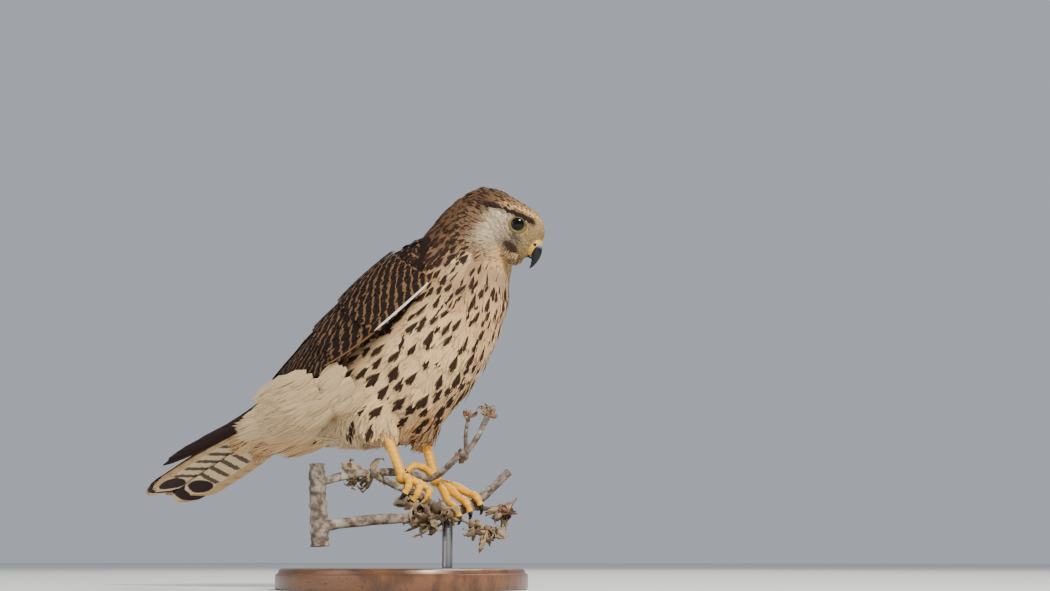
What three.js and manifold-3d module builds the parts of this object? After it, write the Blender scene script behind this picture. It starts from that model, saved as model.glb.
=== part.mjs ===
// A common kestrel, life size, perched on a cut twig that a small display stand holds.
// Millimetres, +Z up. The bird faces +X and its left side is +Y.
// The origin is the centre of the base's underside.
import * as THREE from "three";
import { mergeVertices } from "three/addons/utils/BufferGeometryUtils.js";
import Module from "manifold-3d";

const wasm = await Module();
wasm.setup();
const V = (x, y, z) => new THREE.Vector3(x, y, z);
const rad = THREE.MathUtils.degToRad;
const { lerp, clamp } = THREE.MathUtils;
const tau = Math.PI * 2;

// Shared sizes
const GAP = 0.35; // between touching nodes
const VANE_THICK = 0.55;
const CURVE_STEP = 0.01; // share of a table over which its direction is measured
const BASE = { radius: 72, height: 12, bevel: 1.5, sides: 40 };
const ROD = { radius: 3, sides: 20 };

// Body: the axis runs from the tips of the tail coverts to the back of the skull.
// x and z place the axis, back and belly are the half depths above and below it,
// and side is the half width.
const BODY = [
  { x: -118, z: 90.5, back: 3.5, belly: 4, side: 11 },
  { x: -106, z: 95.5, back: 7, belly: 8, side: 16.5 },
  { x: -88, z: 102, back: 14, belly: 13, side: 21.5 },
  { x: -68, z: 107, back: 26, belly: 22, side: 28 },
  { x: -47, z: 113, back: 36.5, belly: 34, side: 32.5 },
  { x: -26, z: 121.5, back: 41, belly: 43.5, side: 35 },
  { x: -7, z: 133.5, back: 41.5, belly: 48.5, side: 36 },
  { x: 10, z: 148, back: 41, belly: 48, side: 35.5 },
  { x: 25, z: 163, back: 38.5, belly: 44.5, side: 33 },
  { x: 38, z: 177.5, back: 34, belly: 37.5, side: 29 },
  { x: 49, z: 191, back: 31, belly: 28, side: 24 },
  { x: 57, z: 200, back: 30, belly: 21, side: 20.5 },
  { x: 64, z: 207, back: 26.5, belly: 12, side: 17.5 },
  { x: 71, z: 213, back: 16, belly: 5, side: 11 },
];
const BODY_SIDES = 24;
const BODY_STEPS = 29;
const TAIL_CUT = 0.17; // shares of the axis where the body is parted
const NECK_CUT = 0.68;
const HEAD_CUT = 0.84;
const HEAD_CUT_TILT = rad(-14);
const SCRAP = 50; // cubic millimetres, less than any part of the body

// Head: its own frame has x along the bill, y to the left and z up.
const HEAD = { at: V(71, 2.5, 204), yaw: rad(14), pitch: rad(40) };
const SKULL = [
  { x: -30, top: 4, low: -6, side: 6 },
  { x: -26, top: 9.3, low: -9, side: 11 },
  { x: -20, top: 12.3, low: -11, side: 13.4 },
  { x: -13, top: 14.7, low: -13.6, side: 15.6 },
  { x: -5, top: 15.9, low: -15.5, side: 17 },
  { x: 4, top: 17, low: -15.2, side: 16.5 },
  { x: 11, top: 16.8, low: -13.6, side: 13.8 },
  { x: 17, top: 14.1, low: -11.2, side: 10 },
  { x: 21, top: 10.5, low: -8.4, side: 6.3 },
  { x: 22.6, top: 7, low: -5.6, side: 3.4 },
];
const SKULL_SIDES = 20;
const SKULL_STEPS = 14;
const EYE = { at: V(8, 8.9, 4.7), radius: 6, out: rad(26), up: 0.05, lid: 4.3, thick: 0.75 };
const LID = { sides: 5, steps: 12, sunk: 0.2 }; // sunk is a share of its thickness
const BROW = { from: V(-5, 14, 9.4), to: V(15.6, 8.4, 8), out: 1.4, up: 1.1, radius: 2.3 };
const CERE = { x: 18.6, length: 4.5, half: 4.6, top: 5.7, low: -4.5 };
const CERE_FORM = { swell: 0.16, narrow: 0.1, fall: 0.8, sides: 16, shares: [0, 0.35, 0.7, 1] };
const NOSTRIL = { at: V(21.9, 3.6, 1.6), radius: 0.8, depth: 4, turn: rad(80), sides: 10 };
const BILL = [
  { x: 23.2, z: 0.2, turn: rad(0), deep: 4, half: 4 },
  { x: 24, z: -1.2, turn: rad(26), deep: 3.4, half: 3.6 },
  { x: 25.2, z: -3.4, turn: rad(52), deep: 2.6, half: 2.7 },
  { x: 26.1, z: -6, turn: rad(74), deep: 1.7, half: 1.8 },
  { x: 26.5, z: -8.6, turn: rad(90), deep: 0.95, half: 0.95 },
  { x: 26.4, z: -10.8, turn: rad(100), deep: 0.2, half: 0.2 },
];
const BILL_SIDES = 12;
const BILL_STEPS = 9;
const TOOTH = { x: 24.4, z: -3.3, out: 1.9, length: 2.5, back: 0.2, radius: 1.1, tip: 0.2 };
const MANDIBLE = { x: 14.5, z: -6.5, rise: 0.9, length: 9, half: 3.4, depth: 1.5, above: 0.55 };
const MANDIBLE_SIDES = 12;
const MANDIBLE_STEPS = 6;

// Wings: the sheet that both folded wings lie on, from the shoulder to the wing tips.
// Its keys are those of BODY.
const SADDLE = [
  { x: 49, z: 191, back: 33, side: 26.5 },
  { x: 38, z: 177.5, back: 37.5, side: 33.2 },
  { x: 25, z: 163, back: 43.2, side: 37.8 },
  { x: 10, z: 148, back: 46.4, side: 40.4 },
  { x: -7, z: 133.5, back: 47, side: 40.9 },
  { x: -26, z: 121.5, back: 46, side: 39.8 },
  { x: -47, z: 113, back: 41.5, side: 37.3 },
  { x: -68, z: 107, back: 32, side: 32.6 },
  { x: -88, z: 101, back: 22.5, side: 28 },
  { x: -112, z: 92.5, back: 18, side: 26 },
  { x: -140, z: 83.4, back: 17.4, side: 25.5 },
  { x: -168, z: 74, back: 18.4, side: 25 },
  { x: -198, z: 63, back: 18, side: 24 },
];

// Feathers of a folded wing, in rows from the lowest layer to the top one. Shares run along SADDLE
// and angles from the side of the bird, at 0, to its back, at 90 degrees. Each pair of root, tip,
// low and end holds the value of the first, lowest feather and of the last. The tips lie closer to
// the first one the larger crowd is. Lift is the row's height above the sheet, from its first root
// to its last tip, and stack what each next feather's tip gains on it. Each feather is higher at its
// lower edge than in its middle, by its tilt, so that it covers the one below.
const WING_ROWS = {
  primaries: {
    count: 4, root: [0.24, 0.3], tip: [0.93, 0.7], low: [6, 18], end: [15, 35],
    half: 5.4, tilt: 0.45, lift: [-3.2, -2.9], stack: 0.85, crowd: 3,
  },
  secondaries: {
    count: 4, root: [0.26, 0.3], tip: [0.5, 0.64], low: [2, 46], end: [15, 57],
    half: 6.6, tilt: 0.6, lift: [-1, 0.8], stack: 0, crowd: 1,
  },
  tertials: {
    count: 2, root: [0.28, 0.24], tip: [0.66, 0.58], low: [60, 74], end: [66, 79],
    half: 6, tilt: 0.4, lift: [-1.2, 1.8], stack: 0, crowd: 1,
  },
  coverts: {
    count: 4, root: [0.15, 0.21], tip: [0.36, 0.46], low: [-2, 52], end: [5, 58],
    half: 8, tilt: 0.6, lift: [-0.8, 2.9], stack: 0, crowd: 1,
  },
};

// Tail: twelve feathers from the centre pair, on top, to the outermost pair, underneath.
// Roll turns its left edge down.
const TAIL = {
  root: V(-102, 0, 100.2),
  droop: rad(23),
  roll: rad(8),
  pairs: 6,
  length: [106.5, 102], // centre pair, outermost pair
  edge: [17.8, 23.4], // of each pair's outer vanes from the middle
  tops: { middle: 4.8, half: 12.7 }, // of the centre pair
  under: { middle: 10.6, half: 12.9 }, // of the lowest feather, the outermost left one
  apart: 0.88, // between tiers
  rise: 2.6, // of the top tier above the root
  camber: 0.004, // fall at a place beside the middle, by its distance squared
  fall: 1.5, // of the tips
};

// Upper legs: level oval sections from the hock up into the body.
const THIGH = [
  { z: 0, x: 0, long: 4.2, wide: 4 },
  { z: 2.5, x: -4, long: 10, wide: 7.5 },
  { z: 8, x: -11, long: 20, wide: 12.5 },
  { z: 18, x: -14, long: 28, wide: 16 },
  { z: 32, x: -14, long: 32, wide: 17.5 },
  { z: 48, x: -12, long: 26, wide: 14 },
];
const THIGH_SIDES = 20;
const THIGH_STEPS = 10;
const THIGH_SPLAY = 1.5; // how far outwards its top leans

// Legs and feet. The foot is the middle of its pad, and grip is where its toes close on a twig that
// runs along line. Twig is its radius there.
const LEGS = [
  {
    name: "right",
    hock: V(1.5, -17, 86),
    foot: V(13, -17, 61.8),
    grip: V(19, -15, 54),
    line: V(0.45, 0.8, -0.4),
    twig: 2.5,
  },
  {
    name: "left",
    hock: V(2.5, 17, 84),
    foot: V(11.3, 17, 61.6),
    grip: V(35.5, 13, 46),
    line: V(0.43, 0.82, 0.37),
    twig: 2.7,
  },
];
// Top, low and heel are shares of the way from the hock to the foot.
const TARSUS = { radius: 2.75, scutes: 11, raised: 0.22, oval: 0.06, sides: 8, top: 0.07, low: 0.85 };
const HEEL = { radii: [2.8, 3.2], shares: [0.875, 0.93], sides: 9, steps: 4 };
const PAD = { radius: 3.7, scale: [1.15, 1.05, 0.85], sides: 10, steps: 6 };
const TOE = { radius: 2.5, tip: 1.8, joints: 4, knuckle: 0.22, seat: 0.3, arch: 1.2, sides: 7, steps: 8 };
const CLAW = { length: 10, radius: 1.5, tip: 0.18, curl: rad(100), sides: 6, steps: 5 };
// Toes of each foot: the first three point ahead, from the inner to the outer one, and the last one
// points back. Shift is their place along the twig. From and to are their first and last angle round
// it, with 90 degrees on top.
const TOES = {
  right: [
    { shift: 7, from: rad(70), to: rad(-40) },
    { shift: 0.5, from: rad(60), to: rad(-52) },
    { shift: -6, from: rad(70), to: rad(-36) },
    { shift: -1.5, from: rad(150), to: rad(215) },
  ],
  left: [
    { shift: -8.5, from: rad(100), to: rad(-20) },
    { shift: -1, from: rad(96), to: rad(-20) },
    { shift: 6.5, from: rad(100), to: rad(-10) },
    { path: [V(11.3, 17, 61.6), V(10.4, 12, 66.2), V(8.6, 6, 69.6), V(7, 0, 70), V(5.8, -4.9, 66.6)] },
  ],
};

// Perch: a cut length of a forked twig. Its stems run through these points, each with its first and
// last radius.
const STEMS = {
  trunk: {
    points: [V(-10, -60, 24), V(-11, -60, 38), V(-12.3, -60, 54), V(-13.4, -60, 69)],
    radii: [5, 4.3],
    seed: 1.3,
  },
  main: {
    points: [
      V(-9, -60, 35), V(10.8, -35, 38.8), V(23.5, -12, 40), V(30.5, 2, 42.4),
      V(35.5, 13, 46), V(42.1, 22, 53.5), V(51.9, 32, 66.8),
    ],
    radii: [3, 2.3],
    seed: 2.1,
  },
  upper: {
    points: [
      V(-11, -60, 58.6), V(-4, -48, 62.7), V(2, -32, 64.9), V(1.5, -10, 66),
      V(8.4, -1, 64.8), V(15.4, 4, 62.7), V(22, 6.5, 66), V(31.6, 8, 73.8),
      V(39.3, 9, 78.7), V(44.9, 10, 85.4), V(51.8, 12, 99),
    ],
    radii: [2.3, 1.5],
    seed: 4,
  },
  cross: {
    points: [V(3.5, -34, 64.8), V(13.5, -24, 57.6), V(19, -15, 54), V(25, -6, 48), V(31, 3, 42.8)],
    radii: [1.8, 2.5],
    seed: 5,
  },
  shoot: { points: [V(38.5, 8.6, 78.4), V(40, 6, 88), V(42, 6, 97)], radii: [1.3, 0.9], seed: 6 },
  tipOne: {
    points: [V(31, 3, 42.6), V(38, 12, 38), V(47, 19, 33), V(51, 20, 29)],
    radii: [1.6, 1],
    seed: 7,
  },
  tipTwo: { points: [V(35.5, 13, 46), V(43, 20, 45.6), V(51, 26, 46)], radii: [1.5, 1], seed: 8 },
};
const STEM = { thick: 2.9, sides: 8, slimSides: 6, steps: 1.25 }; // steps for each of its points
// Dry leaves hang in clusters from these points. Way is where a cluster points.
const LEAVES = [
  { at: V(1, -37, 65), way: V(-0.4, 0, -0.6), count: 3, length: 15, half: 4.2, seed: 37 },
  { at: V(27, -7, 41), way: V(0.2, -0.3, -1), count: 3, length: 19, half: 4.6, seed: 11 },
  { at: V(46.5, 18.6, 33.4), way: V(0.3, 0.1, -1), count: 3, length: 15, half: 4.2, seed: 23 },
  { at: V(50.4, 25.6, 46), way: V(0.4, 0.3, -0.8), count: 2, length: 12, half: 3.8, seed: 29 },
  { at: V(51.6, 12, 98.4), way: V(0.2, 0.1, 0.8), count: 2, length: 11, half: 3.4, seed: 41 },
  { at: V(41.9, 6, 96.6), way: V(-0.2, 0, 0.8), count: 2, length: 10, half: 3, seed: 53 },
];
const LEAF_THICK = 0.7;
const LEAF_SPREAD = V(1.7, 1.7, 1);
const ROD_TOP = V(30.5, 2, 42.4); // on the main stem's middle line
const ROD_SEAT = 1.2; // how far below that line the rod ends, hollowed out to fit the stem

// Catmull-Rom value of one key of a table of stations, at a share from 0 to 1 of its length.
function along(table, key, share) {
  const at = clamp(share, 0, 1) * (table.length - 1);
  const i = Math.min(Math.floor(at), table.length - 2);
  const t = at - i;
  const p = [i - 1, i, i + 1, i + 2].map((k) => table[clamp(k, 0, table.length - 1)][key]);
  const cubic = -p[0] + 3 * p[1] - 3 * p[2] + p[3];
  const square = 2 * p[0] - 5 * p[1] + 4 * p[2] - p[3];
  return 0.5 * (2 * p[1] + (p[2] - p[0]) * t + square * t * t + cubic * t * t * t);
}

// Random numbers from 0 to 1 that are the same on each run.
function seeded(seed) {
  let state = seed;
  return () => {
    state = (state * 1664525 + 1013904223) % 4294967296;
    return state / 4294967296;
  };
}

// A closed surface through rings of equal count, capped by a fan at each end.
function loft(rings) {
  const n = rings[0].length;
  const points = rings.flat();
  const first = points.length;
  const middle = (ring) => ring.reduce((sum, p) => sum.add(p), V(0, 0, 0)).divideScalar(n);
  points.push(middle(rings[0]), middle(rings[rings.length - 1]));
  const index = [];
  for (let i = 0; i < rings.length - 1; i++) {
    for (let j = 0; j < n; j++) {
      const a = i * n + j;
      const b = i * n + ((j + 1) % n);
      index.push(a, b, b + n, a, b + n, a + n);
    }
  }
  const last = (rings.length - 1) * n;
  for (let j = 0; j < n; j++) {
    const k = (j + 1) % n;
    index.push(first, k, j, first + 1, last + j, last + k);
  }
  const geometry = new THREE.BufferGeometry().setFromPoints(points);
  geometry.setIndex(index);
  return geometry;
}

// A geometry as a solid, turned the right way out.
function solid(geometry) {
  const bare = new THREE.BufferGeometry();
  bare.setAttribute("position", geometry.getAttribute("position").clone());
  bare.setIndex(geometry.index);
  const merged = mergeVertices(bare, 1e-4);
  const vertProperties = merged.attributes.position.array;
  const build = (triVerts) => new wasm.Manifold(new wasm.Mesh({ numProp: 3, vertProperties, triVerts }));
  const made = build(new Uint32Array(merged.index.array));
  return made.volume() < 0 ? build(new Uint32Array(merged.index.array).reverse()) : made;
}

function geometryOf(body) {
  const mesh = body.getMesh();
  const positions = new Float32Array(mesh.numVert * 3);
  for (let i = 0; i < mesh.numVert; i++) {
    positions.set(mesh.vertProperties.subarray(i * mesh.numProp, i * mesh.numProp + 3), i * 3);
  }
  const geometry = new THREE.BufferGeometry();
  geometry.setAttribute("position", new THREE.BufferAttribute(positions, 3));
  geometry.setIndex(new THREE.BufferAttribute(new Uint32Array(mesh.triVerts), 1));
  geometry.computeVertexNormals();
  return geometry;
}

const join = (bodies) => bodies.reduce((sum, body) => sum.add(body));
const cutAway = (body, others) => others.reduce((rest, other) => rest.subtract(other), body);
const largest = (body) => body.decompose().sort((a, b) => b.volume() - a.volume())[0];
const placed = (geometry, matrix) => solid(geometry.applyMatrix4(matrix));

// Directions across a path at one of its points, turned as little as possible from the side given.
function across(direction, side) {
  const right = side.clone().addScaledVector(direction, -side.dot(direction)).normalize();
  return [right, direction.clone().cross(right)];
}

// A tube through points, with a radius from a function of the share of its length and the angle
// round it.
function tube(points, radiusAt, sides, steps, side = V(0, 1, 0)) {
  const curve = new THREE.CatmullRomCurve3(points, false, "centripetal");
  const rings = [];
  let start = side;
  for (let i = 0; i <= steps; i++) {
    const share = i / steps;
    const at = curve.getPoint(share);
    const [a, b] = across(curve.getTangent(share), start);
    start = a;
    const ring = [];
    for (let j = 0; j < sides; j++) {
      const angle = (tau * j) / sides;
      const radius = radiusAt(share, angle);
      const [right, up] = [Math.cos(angle) * radius, Math.sin(angle) * radius];
      ring.push(at.clone().addScaledVector(a, right).addScaledVector(b, up));
    }
    rings.push(ring);
  }
  return solid(loft(rings));
}

// A thin vane from a function that gives the point at a share of its length, a place across it from
// -1 to 1 and a distance above its middle. Both faces are split into the same triangles.
const VANE_ACROSS = [-1, 0, 1];
function vane(pointAt, shares, thick = VANE_THICK) {
  const rings = shares.map((share) => {
    const face = (above) => VANE_ACROSS.map((place) => pointAt(share, place, above));
    return [...face(thick / 2), ...face(-thick / 2).reverse()];
  });
  const n = rings[0].length;
  const half = n / 2;
  const index = [];
  for (let i = 0; i < rings.length - 1; i++) {
    for (let j = 0; j < n; j++) {
      const a = i * n + j;
      const b = i * n + ((j + 1) % n);
      if (j < half) index.push(a, b, b + n, a, b + n, a + n);
      else index.push(a, b, a + n, b, b + n, a + n);
    }
  }
  const last = (rings.length - 1) * n;
  for (let j = 0; j < half - 1; j++) {
    const [a, b, c, d] = [j, j + 1, n - 2 - j, n - 1 - j];
    index.push(b, a, d, b, d, c, last + a, last + b, last + d, last + b, last + c, last + d);
  }
  const geometry = new THREE.BufferGeometry().setFromPoints(rings.flat());
  geometry.setIndex(index);
  return solid(geometry);
}
const FEATHER_SHARES = [0, 0.17, 0.37, 0.64, 0.9, 1];
const FEATHER_WIDTHS = [0.72, 0.88, 0.98, 1, 0.92, 0.48];
const FULL_WIDTH_AT = 0.68;
function featherWidth(share) {
  const i = FEATHER_SHARES.findIndex((s) => s >= share);
  if (i <= 0) return FEATHER_WIDTHS[0];
  const t = (share - FEATHER_SHARES[i - 1]) / (FEATHER_SHARES[i] - FEATHER_SHARES[i - 1]);
  return lerp(FEATHER_WIDTHS[i - 1], FEATHER_WIDTHS[i], t);
}

// A point on the sheet that a table of stations describes, or that far outside it. Angle 0 is the
// left side and 90 degrees the back.
function onSheet(table, share, angle, outside = 0) {
  const axis = (s) => V(along(table, "x", s), 0, along(table, "z", s));
  const forward = axis(share + CURVE_STEP).sub(axis(share - CURVE_STEP)).normalize();
  const up = forward.x > 0 ? V(-forward.z, 0, forward.x) : V(forward.z, 0, -forward.x);
  const high = Math.sin(angle) > 0 || table === SADDLE ? "back" : "belly";
  return axis(share)
    .addScaledVector(up, Math.sin(angle) * (along(table, high, share) + outside))
    .add(V(0, Math.cos(angle) * (along(table, "side", share) + outside), 0));
}

function bodyLoft(outside = 0) {
  const rings = [];
  for (let i = 0; i <= BODY_STEPS; i++) {
    const share = i / BODY_STEPS;
    const ring = [];
    for (let j = 0; j < BODY_SIDES; j++) ring.push(onSheet(BODY, share, (tau * j) / BODY_SIDES, outside));
    rings.push(ring);
  }
  return solid(loft(rings));
}

// A thin slab across the body's axis, that parts it.
const SLAB = 200;
function partingSlab(share, tilt = 0) {
  const axis = (s) => V(along(BODY, "x", s), 0, along(BODY, "z", s));
  const at = axis(share);
  const ahead = axis(share + CURVE_STEP).sub(at);
  const slab = new THREE.BoxGeometry(GAP, SLAB, SLAB);
  return placed(
    slab,
    new THREE.Matrix4().makeRotationY(-Math.atan2(ahead.z, ahead.x) + tilt).setPosition(at),
  );
}

const headFrame = new THREE.Matrix4()
  .makeRotationZ(HEAD.yaw)
  .multiply(new THREE.Matrix4().makeRotationY(HEAD.pitch))
  .setPosition(HEAD.at);
const inHead = (x, y, z) => V(x, y, z).applyMatrix4(headFrame);

function skull() {
  const rings = [];
  for (let i = 0; i <= SKULL_STEPS; i++) {
    const share = i / SKULL_STEPS;
    const [top, low] = [along(SKULL, "top", share), along(SKULL, "low", share)];
    const ring = [];
    for (let j = 0; j < SKULL_SIDES; j++) {
      const angle = (tau * j) / SKULL_SIDES;
      const z = (top + low) / 2 + (Math.sin(angle) * (top - low)) / 2;
      ring.push(inHead(along(SKULL, "x", share), Math.cos(angle) * along(SKULL, "side", share), z));
    }
    rings.push(ring);
  }
  return solid(loft(rings));
}

// The eye's frame: its centre, and the direction it looks in as the frame's z. Side is 1 for the
// left eye.
function eyeFrame(side) {
  const out = V(Math.sin(EYE.out), side * Math.cos(EYE.out), EYE.up).normalize();
  const turn = new THREE.Matrix4().makeRotationFromQuaternion(
    new THREE.Quaternion().setFromUnitVectors(V(0, 0, 1), out),
  );
  return headFrame.clone().multiply(turn.setPosition(EYE.at.x, side * EYE.at.y, EYE.at.z));
}

function eyeball(side, grown = 0) {
  return placed(new THREE.IcosahedronGeometry(EYE.radius + grown, 2), eyeFrame(side));
}

function lidRing(side) {
  const above = Math.sqrt(EYE.radius ** 2 - EYE.lid ** 2);
  const ring = new THREE.TorusGeometry(EYE.lid, EYE.thick, LID.sides, LID.steps);
  ring.translate(0, 0, above - EYE.thick * LID.sunk);
  return placed(ring, eyeFrame(side));
}

function brow(side) {
  const ends = [BROW.from, BROW.to].map((p) => inHead(p.x, side * p.y, p.z));
  const bulge = inHead(0, side * BROW.out, BROW.up).sub(inHead(0, 0, 0));
  const middle = ends[0].clone().lerp(ends[1], 0.5).add(bulge);
  const swell = (share) => BROW.radius * (0.35 + 0.65 * Math.sin(Math.PI * share));
  return tube([ends[0], middle, ends[1]], swell, 8, 6);
}

// The upper bill: sections that start upright at the cere and turn down round the hook.
function upperBill() {
  const rings = [];
  for (let i = 0; i <= BILL_STEPS; i++) {
    const share = i / BILL_STEPS;
    const keys = ["x", "z", "turn", "deep", "half"];
    const [x, z, turn, deep, half] = keys.map((key) => along(BILL, key, share));
    const ring = [];
    for (let j = 0; j < BILL_SIDES; j++) {
      const angle = (tau * j) / BILL_SIDES;
      const outwards = deep * Math.sin(angle);
      const [ahead, up] = [outwards * Math.sin(turn), outwards * Math.cos(turn)];
      ring.push(inHead(x + ahead, half * Math.cos(angle), z + up));
    }
    rings.push(ring);
  }
  const tooth = (side) => {
    const top = inHead(TOOTH.x, side * TOOTH.out, TOOTH.z);
    const point = inHead(TOOTH.x - TOOTH.back, side * TOOTH.out, TOOTH.z - TOOTH.length);
    return tube([top, point], (share) => lerp(TOOTH.radius, TOOTH.tip, share), 6, 3);
  };
  return join([solid(loft(rings)), tooth(1), tooth(-1)]);
}

function cere() {
  const [middle, deep] = [(CERE.top + CERE.low) / 2, (CERE.top - CERE.low) / 2];
  const rings = CERE_FORM.shares.map((share) => {
    const bulge = 1 + CERE_FORM.swell * Math.sin(Math.PI * share) - CERE_FORM.narrow * share;
    const high = middle - CERE_FORM.fall * share;
    return Array.from({ length: CERE_FORM.sides }, (_, j) => {
      const angle = (tau * j) / CERE_FORM.sides;
      const beside = CERE.half * bulge * Math.cos(angle);
      return inHead(CERE.x + CERE.length * share, beside, high + deep * bulge * Math.sin(angle));
    });
  });
  const nostril = (side) => {
    const hole = new THREE.CylinderGeometry(NOSTRIL.radius, NOSTRIL.radius, NOSTRIL.depth, NOSTRIL.sides);
    const turn = new THREE.Matrix4().makeRotationX(side * NOSTRIL.turn);
    turn.setPosition(NOSTRIL.at.x, side * NOSTRIL.at.y, NOSTRIL.at.z);
    return placed(hole, headFrame.clone().multiply(turn));
  };
  return cutAway(solid(loft(rings)), [nostril(1), nostril(-1)]);
}

function lowerBill() {
  const rings = [];
  for (let i = 0; i <= MANDIBLE_STEPS; i++) {
    const share = i / MANDIBLE_STEPS;
    const half = MANDIBLE.half * (1 - 0.75 * share ** 1.6);
    const deep = MANDIBLE.depth * (1 - 0.6 * share);
    const ring = [];
    for (let j = 0; j < MANDIBLE_SIDES; j++) {
      const angle = (tau * j) / MANDIBLE_SIDES;
      const high = deep * Math.sin(angle) * (Math.sin(angle) > 0 ? MANDIBLE.above : 1);
      const z = MANDIBLE.z + MANDIBLE.rise * share + high;
      ring.push(inHead(MANDIBLE.x + MANDIBLE.length * share, half * Math.cos(angle), z));
    }
    rings.push(ring);
  }
  return solid(loft(rings));
}

// One feather on the sheet of the wings. Side is -1 for the right wing.
function wingFeather(row, share, side) {
  const pick = (pair, at = share) => lerp(pair[0], pair[1], at);
  const [root, tip] = [pick(row.root), pick(row.tip, share ** row.crowd)];
  const [low, high] = [rad(pick(row.low)), rad(pick(row.end))];
  const [start, end] = [Math.min(...row.root), Math.max(...row.tip)];
  return vane((s, place, above) => {
    const at = lerp(root, tip, s);
    const girth = 0.5 * (along(SADDLE, "side", at) + along(SADDLE, "back", at));
    const angle = lerp(low, high, s) + (place * row.half * featherWidth(s)) / girth;
    const way = (at - start) / (end - start);
    const lift = lerp(row.lift[0], row.lift[1], way) + row.stack * share * (row.count - 1) * way;
    const p = onSheet(SADDLE, at, angle, lift - row.tilt * place + above);
    return V(p.x, side * p.y, p.z);
  }, FEATHER_SHARES);
}

// The flesh and small coverts of the folded wing, under its rows of feathers.
const WING_CORE = {
  from: 0.03, to: 0.34, low: rad(-8), high: rad(76), climb: 0.1,
  seat: 2 * GAP, top: 0.2, steps: 7, across: 6,
};
function wingCore(side) {
  const rings = [];
  for (let i = 0; i <= WING_CORE.steps; i++) {
    const share = i / WING_CORE.steps;
    const at = lerp(WING_CORE.from, WING_CORE.to, share);
    const round = Math.sin(Math.PI * Math.min(1, share * 1.6 + 0.12) * 0.5) * (1 - 0.25 * share ** 3);
    const middle = (WING_CORE.low + WING_CORE.high) / 2 + WING_CORE.climb * share;
    const reach = ((WING_CORE.high - WING_CORE.low) / 2) * round;
    const places = Array.from({ length: WING_CORE.across + 1 }, (_, j) => (2 * j) / WING_CORE.across - 1);
    const face = (place) => places.map(place);
    const top = (p) => WING_CORE.top * (1 - p ** 4) * round;
    const outer = face((p) => onSheet(SADDLE, at, middle + reach * p, top(p)));
    const inner = face((p) => onSheet(BODY, bodyShare(at), middle + reach * p, WING_CORE.seat));
    rings.push([...outer, ...inner.reverse()].map((p) => V(p.x, side * p.y, p.z)));
  }
  return solid(loft(rings));
}
// The first stations of SADDLE are those of BODY from its eleventh one backwards.
const bodyShare = (at) => (10 - at * (SADDLE.length - 1)) / (BODY.length - 1);

function wing(side, clearOf) {
  const feathers = Object.values(WING_ROWS).flatMap((row) =>
    Array.from({ length: row.count }, (_, i) => wingFeather(row, i / (row.count - 1), side)),
  );
  return largest(cutAway(join([wingCore(side), ...feathers]), clearOf));
}

// One tail feather. Rank runs from 0 at the centre pair to 1 at the outermost, and side is 1 on the
// left. The two feathers of a pair share a tier, but for those of the top and the lowest pair, which
// overlap.
function tailFeather(pair, side) {
  const last = TAIL.pairs - 1;
  const rank = pair / last;
  const length = lerp(TAIL.length[0], TAIL.length[1], rank ** 1.6);
  const edge = lerp(TAIL.edge[0], TAIL.edge[1], rank);
  const beside = { middle: (edge + GAP) / 2, half: (edge - GAP) / 2 };
  const { middle, half } = pair === 0 ? TAIL.tops : pair === last && side > 0 ? TAIL.under : beside;
  const tier = pair + (pair > 0 ? 1 : side > 0 ? 1 : 0) + (pair === last && side > 0 ? 1 : 0);
  const down = V(-Math.cos(TAIL.droop), 0, -Math.sin(TAIL.droop));
  const level = V(-Math.sin(TAIL.droop), 0, Math.cos(TAIL.droop));
  const left = V(0, Math.cos(TAIL.roll), 0).addScaledVector(level, -Math.sin(TAIL.roll));
  const up = left.clone().cross(down);
  return vane((s, place, above) => {
    const middleAt = side * middle * featherWidth(Math.min(s, FULL_WIDTH_AT));
    const aside = middleAt + half * featherWidth(s) * place;
    const camber = TAIL.camber * aside * aside + TAIL.fall * s * s;
    return TAIL.root
      .clone()
      .addScaledVector(down, length * s)
      .addScaledVector(up, TAIL.rise - tier * TAIL.apart - camber + above)
      .addScaledVector(left, aside);
  }, FEATHER_SHARES);
}

// The feathered upper leg.
function thigh(leg) {
  const splay = Math.sign(leg.hock.y) * THIGH_SPLAY;
  const rings = [];
  for (let i = 0; i <= THIGH_STEPS; i++) {
    const share = i / THIGH_STEPS;
    const [x, z, long, wide] = ["x", "z", "long", "wide"].map((key) => along(THIGH, key, share));
    const middle = V(x, splay * share, z).add(leg.hock);
    const ring = [];
    for (let j = 0; j < THIGH_SIDES; j++) {
      const angle = (tau * j) / THIGH_SIDES;
      ring.push(middle.clone().add(V(Math.cos(angle) * long, Math.sin(angle) * wide, 0)));
    }
    rings.push(ring);
  }
  return solid(loft(rings));
}

const alongLeg = (leg, share) => leg.hock.clone().lerp(leg.foot, share);

function tarsus(leg) {
  const [top, low] = [alongLeg(leg, TARSUS.top), alongLeg(leg, TARSUS.low)];
  const scute = (share) => (((share * TARSUS.scutes) % 1) - 0.5) * TARSUS.raised;
  const oval = (angle) => TARSUS.radius * (1 + TARSUS.oval * Math.cos(2 * angle));
  return tube(
    [top, top.clone().lerp(low, 0.5), low],
    (share, angle) => oval(angle) + scute(share),
    TARSUS.sides,
    TARSUS.scutes * 2,
  );
}

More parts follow.
